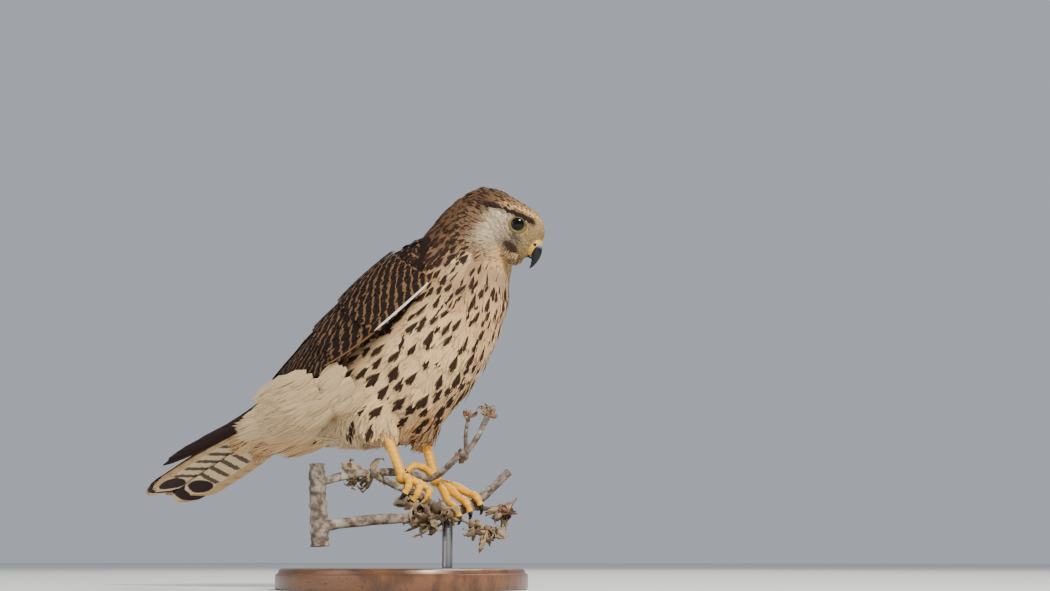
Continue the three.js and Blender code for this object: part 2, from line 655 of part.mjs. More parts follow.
// A toe's path: from the foot, round its twig from one angle to another.
function toePath(leg, t) {
  if (t.path) return t.path;
  const line = leg.line.clone().normalize();
  const ahead = V(line.y, -line.x, 0).normalize();
  const over = ahead.clone().cross(line).multiplyScalar(Math.sign(ahead.clone().cross(line).z));
  const distance = leg.twig + TOE.radius + TOE.seat;
  const around = (angle) =>
    leg.grip
      .clone()
      .addScaledVector(line, t.shift)
      .addScaledVector(ahead, Math.cos(angle) * distance)
      .addScaledVector(over, Math.sin(angle) * distance);
  const arc = [0, 0.33, 0.66, 1].map((share) => around(lerp(t.from, t.to, share)));
  return [leg.foot.clone(), leg.foot.clone().lerp(arc[0], 0.5).add(V(0, 0, TOE.arch)), ...arc];
}

function toe(path, grown = 0) {
  const knuckle = (share) => TOE.knuckle * Math.cos(tau * TOE.joints * share);
  const radiusAt = (share) => lerp(TOE.radius, TOE.tip, share) + grown + knuckle(share);
  return tube(path, radiusAt, TOE.sides, TOE.steps, V(0.3, 1, 0.2));
}

// A claw that goes on from the end of a toe's path and curls the way the path turns.
function claw(path, grown = 0) {
  const curve = new THREE.CatmullRomCurve3(path, false, "centripetal");
  const tangent = curve.getTangent(1);
  const bend = tangent.clone().sub(curve.getTangent(0.8)).normalize();
  const [inward] = across(tangent, bend);
  const start = curve.getPoint(1).addScaledVector(tangent, GAP);
  const radius = CLAW.length / CLAW.curl;
  const points = [];
  for (let i = 0; i <= CLAW.steps; i++) {
    const angle = (CLAW.curl * i) / CLAW.steps;
    points.push(
      start
        .clone()
        .addScaledVector(tangent, Math.sin(angle) * radius)
        .addScaledVector(inward, (1 - Math.cos(angle)) * radius),
    );
  }
  const radiusAt = (share) => CLAW.radius * (1 - share) ** 0.8 + CLAW.tip + grown;
  return tube(points, radiusAt, CLAW.sides, CLAW.steps, inward);
}

function foot(leg, grown = 0) {
  const pad = new THREE.SphereGeometry(PAD.radius + grown, PAD.sides, PAD.steps);
  pad.scale(...PAD.scale);
  pad.translate(leg.foot.x, leg.foot.y, leg.foot.z);
  const heel = tube(
    [...HEEL.shares.map((share) => alongLeg(leg, share)), leg.foot],
    (share) => lerp(HEEL.radii[0], HEEL.radii[1], share) + grown,
    HEEL.sides,
    HEEL.steps,
  );
  return join([solid(pad), heel, ...TOES[leg.name].map((t) => toe(toePath(leg, t), grown))]);
}

// Bark: the twig's radius swells at its knots.
const knots = (share, angle, seed) =>
  0.22 * Math.sin(share * 37 + seed) +
  0.16 * Math.sin(share * 61 + 2 * angle + seed) +
  0.12 * Math.sin(3 * angle + 5 * share);

function stem({ points, radii, seed }, grown = 0) {
  const knotty = (s, angle) => knots(s, angle, seed) * (radii[0] / 4);
  const radiusAt = (s, angle) => lerp(radii[0], radii[1], s) + knotty(s, angle) + grown;
  const sides = radii[0] > STEM.thick ? STEM.sides : STEM.slimSides;
  return tube(points, radiusAt, sides, Math.round(points.length * STEM.steps), V(0.3, 0.1, 1));
}

// A dry leaf: a thin blade that curls along and across its length.
const LEAF_SHARES = [0, 0.4, 0.8, 1];
const LEAF_WIDTHS = [0.16, 0.9, 0.85, 0.2];
const [LEAF_CURL, LEAF_CUP, LEAF_TWIST] = [[0.6, 2.2], [0.8, 1.9], [-0.9, 0.9]];
function leaf(root, way, length, half, random) {
  const between = ([least, most]) => lerp(least, most, random());
  const [side, above] = across(way, V(random() - 0.5, random() - 0.5, random() - 0.5));
  const [curl, cup, twist] = [between(LEAF_CURL), between(LEAF_CUP), between(LEAF_TWIST)];
  return vane((s, place, thick) => {
    const bend = curl * s;
    const wide = half * LEAF_WIDTHS[LEAF_SHARES.indexOf(s)];
    const spin = twist * s;
    const out = side.clone().multiplyScalar(Math.cos(spin)).addScaledVector(above, Math.sin(spin));
    const [, face] = across(way, out);
    const ahead = (Math.sin(bend) / curl) * length;
    const drop = ((1 - Math.cos(bend)) / curl) * length;
    return root
      .clone()
      .addScaledVector(way, ahead)
      .addScaledVector(face, drop + cup * wide * 0.35 * place * place + thick)
      .addScaledVector(out, wide * place * Math.cos(cup * 0.5 * Math.abs(place)));
  }, LEAF_SHARES, LEAF_THICK);
}

function perch(clearOf) {
  const leaves = LEAVES.flatMap(({ at, way, count, length, half, seed }) => {
    const random = seeded(seed);
    return Array.from({ length: count }, () => {
      const loose = V(random() - 0.5, random() - 0.5, random() - 0.5).multiply(LEAF_SPREAD);
      const turned = way.clone().normalize().add(loose).normalize();
      return leaf(at, turned, length * lerp(0.7, 1, random()), half, random);
    });
  });
  const stems = Object.values(STEMS).map((row) => stem(row));
  return largest(cutAway(join([...stems, ...leaves]), clearOf));
}

// The stand: a round base and one rod up to the twig.
function standBase() {
  const { radius, height, bevel, sides } = BASE;
  const outline = [[0, 0], [radius, 0], [radius, height - bevel], [radius - bevel, height], [0, height]];
  const disc = new THREE.LatheGeometry(outline.map(([x, y]) => new THREE.Vector2(x, y)), sides);
  return placed(disc, new THREE.Matrix4().makeRotationX(Math.PI / 2));
}

function standRod() {
  const reach = ROD_TOP.z - ROD_SEAT - GAP - BASE.height;
  const rod = new THREE.CylinderGeometry(ROD.radius, ROD.radius, reach, ROD.sides);
  const middle = V(ROD_TOP.x, ROD_TOP.y, BASE.height + GAP + reach / 2);
  const upright = placed(rod, new THREE.Matrix4().makeRotationX(Math.PI / 2).setPosition(middle));
  return largest(cutAway(upright, Object.values(STEMS).map((row) => stem(row, GAP))));
}

const group = new THREE.Group();
function add(name, body, color, roughness = 0.85, metalness = 0) {
  const material = new THREE.MeshStandardMaterial({ color, roughness, metalness });
  const mesh = new THREE.Mesh(geometryOf(body), material);
  mesh.name = name;
  group.add(mesh);
}

// The whole body in one, then parted by thin slabs into the tail's root, the torso, the neck and the head.
const eyes = [1, -1].map((side) => eyeball(side));
const [cereBody, bill, mandible] = [cere(), upperBill(), lowerBill()];
const flesh = join([bodyLoft(), skull(), ...[1, -1].flatMap((side) => [brow(side), lidRing(side)])]);
const cuts = [partingSlab(TAIL_CUT), partingSlab(NECK_CUT), partingSlab(HEAD_CUT, HEAD_CUT_TILT)];
const pieces = cutAway(flesh, cuts)
  .decompose()
  .filter((piece) => piece.volume() > SCRAP)
  .sort((a, b) => a.boundingBox().min[0] - b.boundingBox().min[0]);

const [tailRoot, torso, neck, headFlesh] = pieces;
const sockets = [1, -1].map((side) => eyeball(side, GAP));
const head = largest(cutAway(headFlesh, [...sockets, cereBody, bill, mandible]));

add("torso", torso, 0xcbb99c);
add("neck", neck, 0x8a6f57);
add("head", head, 0x9a7250);
add("eye_left", eyes[0], 0x0b0908, 0.1);
add("eye_right", eyes[1], 0x0b0908, 0.1);
const tailFeathers = [];
for (let pair = 0; pair < TAIL.pairs; pair++) {
  for (const side of [1, -1]) tailFeathers.push(tailFeather(pair, side));
}
add("tail", largest(join([tailRoot, ...tailFeathers])), 0xb8a890);
const grownBody = bodyLoft(GAP);
add("wing_left", wing(1, [grownBody]), 0x5a4636);
add("wing_right", wing(-1, [grownBody]), 0x5a4636);
LEGS.forEach((leg) => {
  add("thigh_" + leg.name, largest(cutAway(thigh(leg), [grownBody])), 0xd8c8a8);
  add("leg_" + leg.name, largest(cutAway(tarsus(leg), [foot(leg, GAP)])), 0xd8a030);
  add("foot_" + leg.name, foot(leg), 0xd8a030);
  TOES[leg.name].forEach((t, i) => {
    add("claw_" + leg.name + "_" + (i + 1), claw(toePath(leg, t)), 0x151210, 0.3);
  });
});
const grip = LEGS.flatMap((leg) => {
  return [foot(leg, GAP), ...TOES[leg.name].map((t) => claw(toePath(leg, t), GAP))];
});
add("perch", perch(grip), 0x7a6a5a);
add("stand_base", standBase(), 0x5a3a22, 0.4);
add("stand_rod", standRod(), 0x8a8a88, 0.3, 1);
add("cere", cereBody, 0xd9b545, 0.5);
add("bill_upper", cutAway(bill, [cereBody]), 0x23262c, 0.35);
add("bill_lower", cutAway(mandible, [cereBody, bill]), 0x2c2e33, 0.4);
export default group;
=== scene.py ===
"""A common kestrel on a cut twig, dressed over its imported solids.

Lengths are millimetres in the row frame, where +X is the way the body faces, +Y its left and +Z up.
"""
import math

import bpy
import numpy as np
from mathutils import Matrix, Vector


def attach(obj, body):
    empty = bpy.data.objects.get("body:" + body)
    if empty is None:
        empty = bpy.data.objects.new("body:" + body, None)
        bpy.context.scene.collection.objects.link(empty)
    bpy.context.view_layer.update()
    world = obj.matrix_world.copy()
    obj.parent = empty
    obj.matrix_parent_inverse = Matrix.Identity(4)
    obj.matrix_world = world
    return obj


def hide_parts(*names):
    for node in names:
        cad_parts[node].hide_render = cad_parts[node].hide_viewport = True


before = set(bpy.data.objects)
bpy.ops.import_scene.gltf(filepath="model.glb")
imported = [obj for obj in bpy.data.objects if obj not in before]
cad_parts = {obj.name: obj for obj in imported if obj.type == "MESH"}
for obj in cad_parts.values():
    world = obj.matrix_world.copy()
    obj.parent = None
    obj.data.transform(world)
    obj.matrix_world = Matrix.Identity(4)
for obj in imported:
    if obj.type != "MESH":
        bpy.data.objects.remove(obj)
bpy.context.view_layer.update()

MM = 0.001
rad = math.radians
DEGREE = rad(1)
SIDES = ((1, "left"), (-1, "right"))
rng = np.random.default_rng(41)


def stations(keys, *rows):
    """The named columns of a table with one row for each station along a form."""
    return dict(zip(keys.split(), np.array(rows, float).T))


# Body: stations from the tips of the tail coverts to the back of the skull, as the solids have them.
BODY = stations(
    "x z back belly side",
    (-118, 90.5, 3.5, 4, 11),
    (-106, 95.5, 7, 8, 16.5),
    (-88, 102, 14, 13, 21.5),
    (-68, 107, 26, 22, 28),
    (-47, 113, 36.5, 34, 32.5),
    (-26, 121.5, 41, 43.5, 35),
    (-7, 133.5, 41.5, 48.5, 36),
    (10, 148, 41, 48, 35.5),
    (25, 163, 38.5, 44.5, 33),
    (38, 177.5, 34, 37.5, 29),
    (49, 191, 31, 28, 24),
    (57, 200, 30, 21, 20.5),
    (64, 207, 26.5, 12, 17.5),
    (71, 213, 16, 5, 11),
)
# The sheet that both folded wings lie on, from the shoulder to the wing tips.
SADDLE = stations(
    "x z back side",
    (49, 191, 33, 26.5),
    (38, 177.5, 37.5, 33.2),
    (25, 163, 43.2, 37.8),
    (10, 148, 46.4, 40.4),
    (-7, 133.5, 47, 40.9),
    (-26, 121.5, 46, 39.8),
    (-47, 113, 41.5, 37.3),
    (-68, 107, 32, 32.6),
    (-88, 101, 22.5, 28),
    (-112, 92.5, 18, 26),
    (-140, 83.4, 17.4, 25.5),
    (-168, 74, 18.4, 25),
    (-198, 63, 18, 24),
)
# SADDLE starts at this station of BODY and follows its stations the other way, as far as the rump.
SADDLE_START = 10
BODY_SPAN, SADDLE_SPAN = len(BODY["x"]) - 1, len(SADDLE["x"]) - 1
SKULL = stations(
    "x top low side",
    (-30, 4, -6, 6),
    (-26, 9.3, -9, 11),
    (-20, 12.3, -11, 13.4),
    (-13, 14.7, -13.6, 15.6),
    (-5, 15.9, -15.5, 17),
    (4, 17, -15.2, 16.5),
    (11, 16.8, -13.6, 13.8),
    (17, 14.1, -11.2, 10),
    (21, 10.5, -8.4, 6.3),
    (22.6, 7, -5.6, 3.4),
)
HEAD_AT, HEAD_YAW, HEAD_PITCH = np.array([71, 2.5, 204.0]), rad(14), rad(40)
EYE = dict(at=np.array([8, 8.9, 4.7]), radius=6.0, out=rad(26), lid=4.2)
BROW = dict(start=np.array([-5, 14, 9.4]), end=np.array([15.6, 8.4, 8]), out=1.4, up=1.1, radius=2.3)
CERE = dict(x=18.6, length=4.5, half=4.6, top=5.7, low=-4.5)
NOSTRIL = np.array([21.9, 3.6, 1.6])
BILL = stations(
    "x z turn deep half",
    (23.2, 0.2, rad(0), 4, 4),
    (24, -1.2, rad(26), 3.4, 3.6),
    (25.2, -3.4, rad(52), 2.6, 2.7),
    (26.1, -6, rad(74), 1.7, 1.8),
    (26.5, -8.6, rad(90), 0.95, 0.95),
    (26.4, -10.8, rad(100), 0.2, 0.2),
)
TOOTH = dict(x=24.4, z=-3.3, out=1.9, length=2.5, back=0.2, radius=1.1, tip=0.2)
MANDIBLE = dict(x=14.5, z=-6.5, rise=0.9, length=9, half=3.4, depth=1.5, above=0.55)
# Length and edge are for the uppermost and the lowest pair of feathers, and short is for the lowest left and
# right. Tops and under are a feather's middle aside and its half width.
TAIL = dict(
    root=np.array([-102, 0, 100.2]), droop=rad(23), roll=rad(8), pairs=6, length=(107, 105), short=(91, 97),
    edge=(17.8, 23.4), tops=(4.8, 12.7), under=(10.6, 12.9), apart=0.88, rise=2.6, camber=0.004, fall=1.5,
)


def vec(*parts):
    return np.array(parts, float)


def xyz(*parts):
    """Points from their three coordinates, each an array or a single number."""
    return np.stack(np.broadcast_arrays(*parts), -1)


def all_round(count):
    """Evenly spread angles all the way round."""
    return np.linspace(0, math.tau, count, endpoint=False)


def grid(*axes):
    return np.meshgrid(*axes, indexing="ij")


def unit(v):
    return v / np.maximum(np.linalg.norm(v, axis=-1, keepdims=True), 1e-9)


def lerp(a, b, t):
    return a + (b - a) * t


def smooth(low, high, x):
    t = np.clip((np.asarray(x, float) - low) / (high - low), 0, 1)
    return t * t * (3 - 2 * t)


def along(table, key, share):
    """Catmull-Rom value of one column of a table, at shares from 0 to 1 of its length."""
    values = table[key]
    at = np.clip(share, 0, 1) * (len(values) - 1)
    i = np.minimum(np.floor(at).astype(int), len(values) - 2)
    t = at - i
    p0, p1 = values[np.maximum(i - 1, 0)], values[i]
    p2, p3 = values[i + 1], values[np.minimum(i + 2, len(values) - 1)]
    cubic = -p0 + 3 * p1 - 3 * p2 + p3
    square = 2 * p0 - 5 * p1 + 4 * p2 - p3
    return 0.5 * (2 * p1 + (p2 - p0) * t + square * t * t + cubic * t * t * t)


def axis_point(table, share):
    return xyz(along(table, "x", share), 0, along(table, "z", share))


def axis_frame(table, share):
    """The axis point, the direction ahead along the axis and the direction up across it."""
    ahead = unit(axis_point(table, share + 0.01) - axis_point(table, share - 0.01))
    ahead = ahead * np.sign(ahead[..., :1])
    return axis_point(table, share), ahead, xyz(-ahead[..., 2], 0, ahead[..., 0])


def on_sheet(table, share, angle, outside=0.0):
    """Points on the sheet of a table, or that far outside it. Angle 0 is its left side."""
    share, angle, outside = np.broadcast_arrays(*[np.asarray(v, float) for v in (share, angle, outside)])
    at, _, up = axis_frame(table, share)
    high = along(table, "back", share)
    if table is BODY:
        high = np.where(np.sin(angle) > 0, high, along(table, "belly", share))
    point = at + up * (np.sin(angle) * (high + outside))[..., None]
    point[..., 1] += np.cos(angle) * (along(table, "side", share) + outside)
    return point


cos_yaw, sin_yaw = math.cos(HEAD_YAW), math.sin(HEAD_YAW)
cos_pitch, sin_pitch = math.cos(HEAD_PITCH), math.sin(HEAD_PITCH)
TURN_ASIDE = np.array([[cos_yaw, -sin_yaw, 0], [sin_yaw, cos_yaw, 0], [0, 0, 1]])
TURN_DOWN = np.array([[cos_pitch, 0, sin_pitch], [0, 1, 0], [-sin_pitch, 0, cos_pitch]])
HEAD_TURN = TURN_ASIDE @ TURN_DOWN


def in_head(p):
    return np.asarray(p, float) @ HEAD_TURN.T + HEAD_AT


def to_head(p):
    return (np.asarray(p, float) - HEAD_AT) @ HEAD_TURN


# Meshes from arrays
def mesh_object(name, points, faces, smooth_angle=55):
    """A mesh object from points in millimetres and triangles or quads, smooth but for its sharp edges."""
    points, faces = np.asarray(points, float), np.asarray(faces, int)
    mesh = bpy.data.meshes.new(name)
    mesh.vertices.add(len(points))
    mesh.vertices.foreach_set("co", (points * MM).ravel())
    mesh.loops.add(faces.size)
    mesh.loops.foreach_set("vertex_index", faces.ravel())
    mesh.polygons.add(len(faces))
    mesh.polygons.foreach_set("loop_start", np.arange(0, faces.size, faces.shape[1]))
    mesh.polygons.foreach_set("use_smooth", np.ones(len(faces), bool))
    mesh.update(calc_edges=True)
    if smooth_angle:
        mesh.set_sharp_from_angle(angle=rad(smooth_angle))
    made = bpy.data.objects.new(name, mesh)
    bpy.context.scene.collection.objects.link(made)
    return made


def set_attribute(made, name, values, kind="FLOAT_VECTOR"):
    values = np.asarray(values, np.float32)
    if kind == "FLOAT_COLOR" and values.shape[-1] == 3:
        values = np.concatenate([values, np.ones((len(values), 1), np.float32)], 1)
    layer = made.data.attributes.new(name, kind, "POINT")
    layer.data.foreach_set("color" if kind == "FLOAT_COLOR" else "vector", values.ravel())


def paint(made, color):
    """Gives a mesh its Ground colour, one for all its points or one for each."""
    set_attribute(made, "Ground", np.broadcast_to(color, (len(made.data.vertices), 3)), "FLOAT_COLOR")
    return made


def set_uv(made, name, values):
    """A UV map from one pair of values per point."""
    index = np.empty(len(made.data.loops), np.int32)
    made.data.loops.foreach_get("vertex_index", index)
    layer = made.data.uv_layers.new(name=name)
    layer.data.foreach_set("uv", np.asarray(values, np.float32)[index].ravel())


def finish_piece(made, slot, *nodes, material=None):
    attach(made, "root")
    if nodes:
        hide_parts(*nodes)
    if material:
        made.data.materials.clear()
        made.data.materials.append(material)
    return made


def ring_faces(rings, count, closed=True):
    """Triangles between rings of points, and fans at both ends to the two last points."""
    i, j = grid(np.arange(rings - 1), np.arange(count))
    a, b = i * count + j, i * count + (j + 1) % count
    quads = np.stack([a, b, b + count, a + count], -1).reshape(-1, 4)
    tris = np.concatenate([quads[:, [0, 1, 2]], quads[:, [0, 2, 3]]])
    if closed:
        j = np.arange(count)
        k = (j + 1) % count
        first, last = rings * count, (rings - 1) * count
        tris = np.concatenate([tris, xyz(first, k, j), xyz(first + 1, last + j, last + k)])
    return tris


def loft(rings):
    """Points and triangles of a closed surface through rings, an array of rings by points by 3."""
    rings = np.asarray(rings, float)
    ends = [rings[0].mean(0), rings[-1].mean(0)]
    return np.concatenate([rings.reshape(-1, 3), ends]), ring_faces(len(rings), rings.shape[1])


def curve_points(points, count):
    """Points on a centripetal Catmull-Rom curve through points, evenly spread over its knots."""
    p = np.asarray(points, float)
    p = np.concatenate([[2 * p[0] - p[1]], p, [2 * p[-1] - p[-2]]])
    knots = np.concatenate([[0], np.cumsum(np.sqrt(np.linalg.norm(np.diff(p, axis=0), axis=1)))])
    out = []
    for at in np.linspace(0, len(p) - 3, count):
        i = min(int(at), len(p) - 4)
        t0, t1, t2, t3 = knots[i:i + 4]
        t = lerp(t1, t2, at - i)
        gone = [(t - knots[i + k]) / (knots[i + k + 1] - knots[i + k]) for k in range(3)]
        a = [lerp(p[i + k], p[i + k + 1], gone[k]) for k in range(3)]
        b = [lerp(a[0], a[1], (t - t0) / (t2 - t0)), lerp(a[1], a[2], (t - t1) / (t3 - t1))]
        out.append(lerp(b[0], b[1], (t - t1) / (t2 - t1)))
    return np.array(out)


def tube(points, radius, sides, steps, start=(0, 1, 0)):
    """Rings of a tube along points. Radius is a function of the shares along it and the angles round it."""
    path = curve_points(points, steps + 1)
    tangent = unit(np.gradient(path, axis=0))
    angle = all_round(sides)
    right, rings = np.asarray(start, float), []
    for i, (at, t) in enumerate(zip(path, tangent)):
        right = unit(right - t * (right @ t))
        up = np.cross(t, right)
        r = np.broadcast_to(radius(i / steps, angle), angle.shape)[:, None]
        rings.append(at + r * (np.cos(angle)[:, None] * right + np.sin(angle)[:, None] * up))
    return np.array(rings)


def merged(parts):
    """One set of points and triangles from several."""
    points, faces, start = [], [], 0
    for p, f in parts:
        points.append(p)
        faces.append(f + start)
        start += len(p)
    return np.concatenate(points), np.concatenate(faces)


# Materials
class Wire:
    """An output of a node. Arithmetic with it adds a node and gives that one's output."""

    def __init__(self, nodes, socket):
        self.nodes, self.socket = nodes, socket


def add_arithmetic(word, operation):
    setattr(Wire, f"__{word}__", lambda wire, other: wire.nodes.math(operation, wire, other))
    setattr(Wire, f"__r{word}__", lambda wire, other: wire.nodes.math(operation, other, wire))


for word, operation in dict(add="ADD", sub="SUBTRACT", mul="MULTIPLY", truediv="DIVIDE").items():
    add_arithmetic(word, operation)


class Nodes:
    """A material, and short calls that add nodes to it and give their outputs."""

    def __init__(self, name):
        self.material = bpy.data.materials.new(name)
        self.material.use_nodes = True
        self.tree = self.material.node_tree
        self.shader = self.tree.nodes["Principled BSDF"]

    def add(self, kind, inputs=None, output=0, **settings):
        node = self.tree.nodes.new("ShaderNode" + kind)
        for key, value in settings.items():
            setattr(node, key, value)
        for key, value in (inputs or {}).items():
            self.set(node.inputs[key], value)
        return Wire(self, node.outputs[output])

    def set(self, socket, value):
        if isinstance(value, Wire):
            self.tree.links.new(value.socket, socket)
        else:
            socket.default_value = (*value, 1.0) if isinstance(value, np.ndarray) else value

    def math(self, operation, a, b=0.0):
        return self.add("Math", {0: a, 1: b}, operation=operation)

    def split(self, vector):
        """The three coordinates of a vector."""
        first = self.add("SeparateXYZ", {0: vector})
        return [Wire(self, socket) for socket in first.socket.node.outputs]

    def ramp(self, value, low, high):
        """A smooth rise from 0 at low to 1 at high."""
        inputs = {"Value": value, "From Min": low, "From Max": high, "To Min": 0.0, "To Max": 1.0}
        return self.add("MapRange", inputs, interpolation_type="SMOOTHSTEP")

    def mix(self, share, a, b, blend="MIX"):
        return self.add("Mix", {0: share, 6: a, 7: b}, 2, data_type="RGBA", blend_type=blend)

    def noise(self, scale, detail, place=None, roughness=0.55):
        inputs = {"Scale": scale, "Detail": detail, "Roughness": roughness, "Vector": place or self.place()}
        return self.add("TexNoise", inputs, "Fac")

    def place(self):
        return self.add("TexCoord", output="Object")

    def scaled(self, *scale):
        """Places in the object, stretched along each axis by a scale of its own."""
        return self.add("Mapping", {"Vector": self.place(), "Scale": scale})

    def attribute(self, name, output="Color"):
        return self.add("Attribute", output=output, attribute_name=name)

    def barbs(self, color, scale, across, down, contrast, dark, pale):
        """A colour under fine lines of barbs, which also give relief, others on each feather."""
        seed = self.attribute("Ground", "Alpha") * 37.0
        barbs = self.noise(scale, 2, self.add("CombineXYZ", {0: across, 1: down, 2: seed}))
        self.bump(barbs, 0.0002, 0.35)
        return self.mix(contrast, color, self.mix(barbs, dark, pale), "OVERLAY")

    def bump(self, height, distance, strength):
        relief = self.add("Bump", {"Height": height, "Distance": distance, "Strength": strength})
        self.set(self.shader.inputs["Normal"], relief)

    def finish(self, color, roughness, **sockets):
        """The material, with its shader's sockets set. Their names have low lines for spaces here."""
        for name, value in dict(sockets, Base_Color=color, Roughness=roughness).items():
            self.set(self.shader.inputs[name.replace("_", " ")], value)
        return self.material


def srgb(r, g, b):
    """A linear colour from one written as 0 to 255 on screen."""
    c = np.array([r, g, b]) / 255
    return np.where(c <= 0.04045, c / 12.92, ((c + 0.055) / 1.055) ** 2.4)


CREAM = srgb(206, 174, 132)
WHITE = srgb(214, 192, 156)
BUFF = srgb(198, 154, 104)
BROWN = srgb(98, 72, 52)
DARK = srgb(42, 28, 22)
GREY = srgb(152, 134, 112)


def plumage_material():
    """Feathers that carry their own colours: a ground, and a mark of streaks or bars across the vane."""
    n = Nodes("plumage")
    aside, down, _ = n.split(n.add("UVMap", uv_map="Vane"))
    across = n.math("ABSOLUTE", aside * 2.0 - 1.0)
    streak_width, bar_count, bar_share = n.split(n.attribute("Pattern", "Vector"))
    swell = n.ramp(down, 0.2, 0.8) * n.ramp(down, 0.97, 0.82)
    ragged = across + (n.noise(1100, 2) - 0.5) * 0.16
    streak = n.ramp(ragged / n.math("MAXIMUM", streak_width * swell, 0.004), 1.3, 0.6)
    phase = (down + across * -0.09) * bar_count * math.tau + n.noise(330, 3) * 7.0
    bars = n.ramp(n.math("SINE", phase), 1.15 - bar_share, 1.55 - bar_share)
    mark = n.math("MAXIMUM", streak, bars * n.ramp(bar_count, 0.0, 0.5))
    color = n.mix(mark, n.attribute("Ground"), n.attribute("Mark"))
    slanted = down * 26.0 - across * 7.0
    color = n.barbs(color, 1.6, across * 1.5, slanted, 0.32, vec(0.25, 0.22, 0.2), vec(0.8, 0.78, 0.74))
    return n.finish(color, 0.75, Specular_IOR_Level=0.1)


def skin_material():
    n = Nodes("down")
    ground = n.attribute("Ground")
    fluff = n.noise(700, 4)
    color = n.mix(fluff, n.mix(0.35, ground, vec(0.1, 0.08, 0.07), "MULTIPLY"), ground)
    n.bump(fluff, 0.0006, 0.6)
    return n.finish(color, 0.95, Specular_IOR_Level=0.1)


# Places on the bird
def body_place(p):
    """Share and angle on the body, and the directions ahead and up there, for points in the row frame."""
    shares = np.linspace(0, 1, 321)
    at, ahead, up = axis_frame(BODY, shares)
    flat, axis = p[:, [0, 2]].astype(np.float32), at[None, :, [0, 2]].astype(np.float32)
    nearest = np.concatenate([
        np.argmin(((part[:, None] - axis) ** 2).sum(-1), 1)
        for part in np.array_split(flat, max(1, len(flat) // 8000))
    ])
    share, ahead, up = shares[nearest], ahead[nearest], up[nearest]
    rise = ((p - at[nearest]) * up).sum(-1)
    high = np.where(rise > 0, along(BODY, "back", share), along(BODY, "belly", share))
    return share, np.arctan2(rise / high, np.abs(p[:, 1]) / along(BODY, "side", share)), ahead, up


def head_share(h):
    """How far a point in the head's frame belongs to the head, from 0 on the neck to 1 on the face."""
    return smooth(-27, -15, h[:, 0] + 0.35 * h[:, 2]) * smooth(-21, -14.5, h[:, 2])


def near(value, middle, reach):
    return np.exp(-(((value - middle) / reach) ** 2))


def mix(share, a, b):
    return a + (b - a) * np.asarray(share)[..., None]


def layered(color, *layers):
    """A colour under layers, each given by how strong it is and its own colour."""
    for share, layer in layers:
        color = mix(share, color, layer)
    return color


def face_colors(x, y, z, over, hind, cheek):
    """Colours of the head. Over is the height above the line of painted brow shadow from over the eye back to
    the nape.
    """
    crown = mix(smooth(-18, 12, x), srgb(82, 61, 45), srgb(152, 120, 84))
    throat = smooth(-9.5, -12.5, z) * smooth(14, 8, y)
    lore = smooth(12, 15.5, x) * smooth(1.5, -1.5, over)
    over_brow = near(over, 3.4, 1.4) * smooth(-9, -3, x) * smooth(19, 14, x)
    # painted shadow of the brow ridge: a dark line over the eye, running back towards the nape
    brow_shadow = near(over, 0, 1.7) * smooth(-19, -14, x) * smooth(17, 14, x) * smooth(4, 7, y)
    moustache = smooth(1.25, 0.6, np.hypot((x - 12.5) / 4.6, (z + 7.4) / 3.0)) * smooth(3, 6, y)
    under_eye = smooth(1.3, 0.5, np.hypot((x - 12.8) / 4.0, (z + 1.8) / 2.4)) * smooth(3, 6, y)
    return layered(
        mix(smooth(-0.6, 1.6, over), GREY, crown),
        (hind * 0.95, srgb(100, 76, 56)),
        (cheek, srgb(186, 170, 144)),
        (throat, srgb(182, 148, 104)),
        (lore * 0.85, srgb(140, 116, 78)),
        (0.7 * over_brow, srgb(210, 172, 122)),
        (np.minimum(1, brow_shadow * 1.5), srgb(38, 27, 20)),
        (moustache * 0.9, srgb(48, 36, 30)),
        (under_eye * 0.9, srgb(86, 76, 68)),
    )


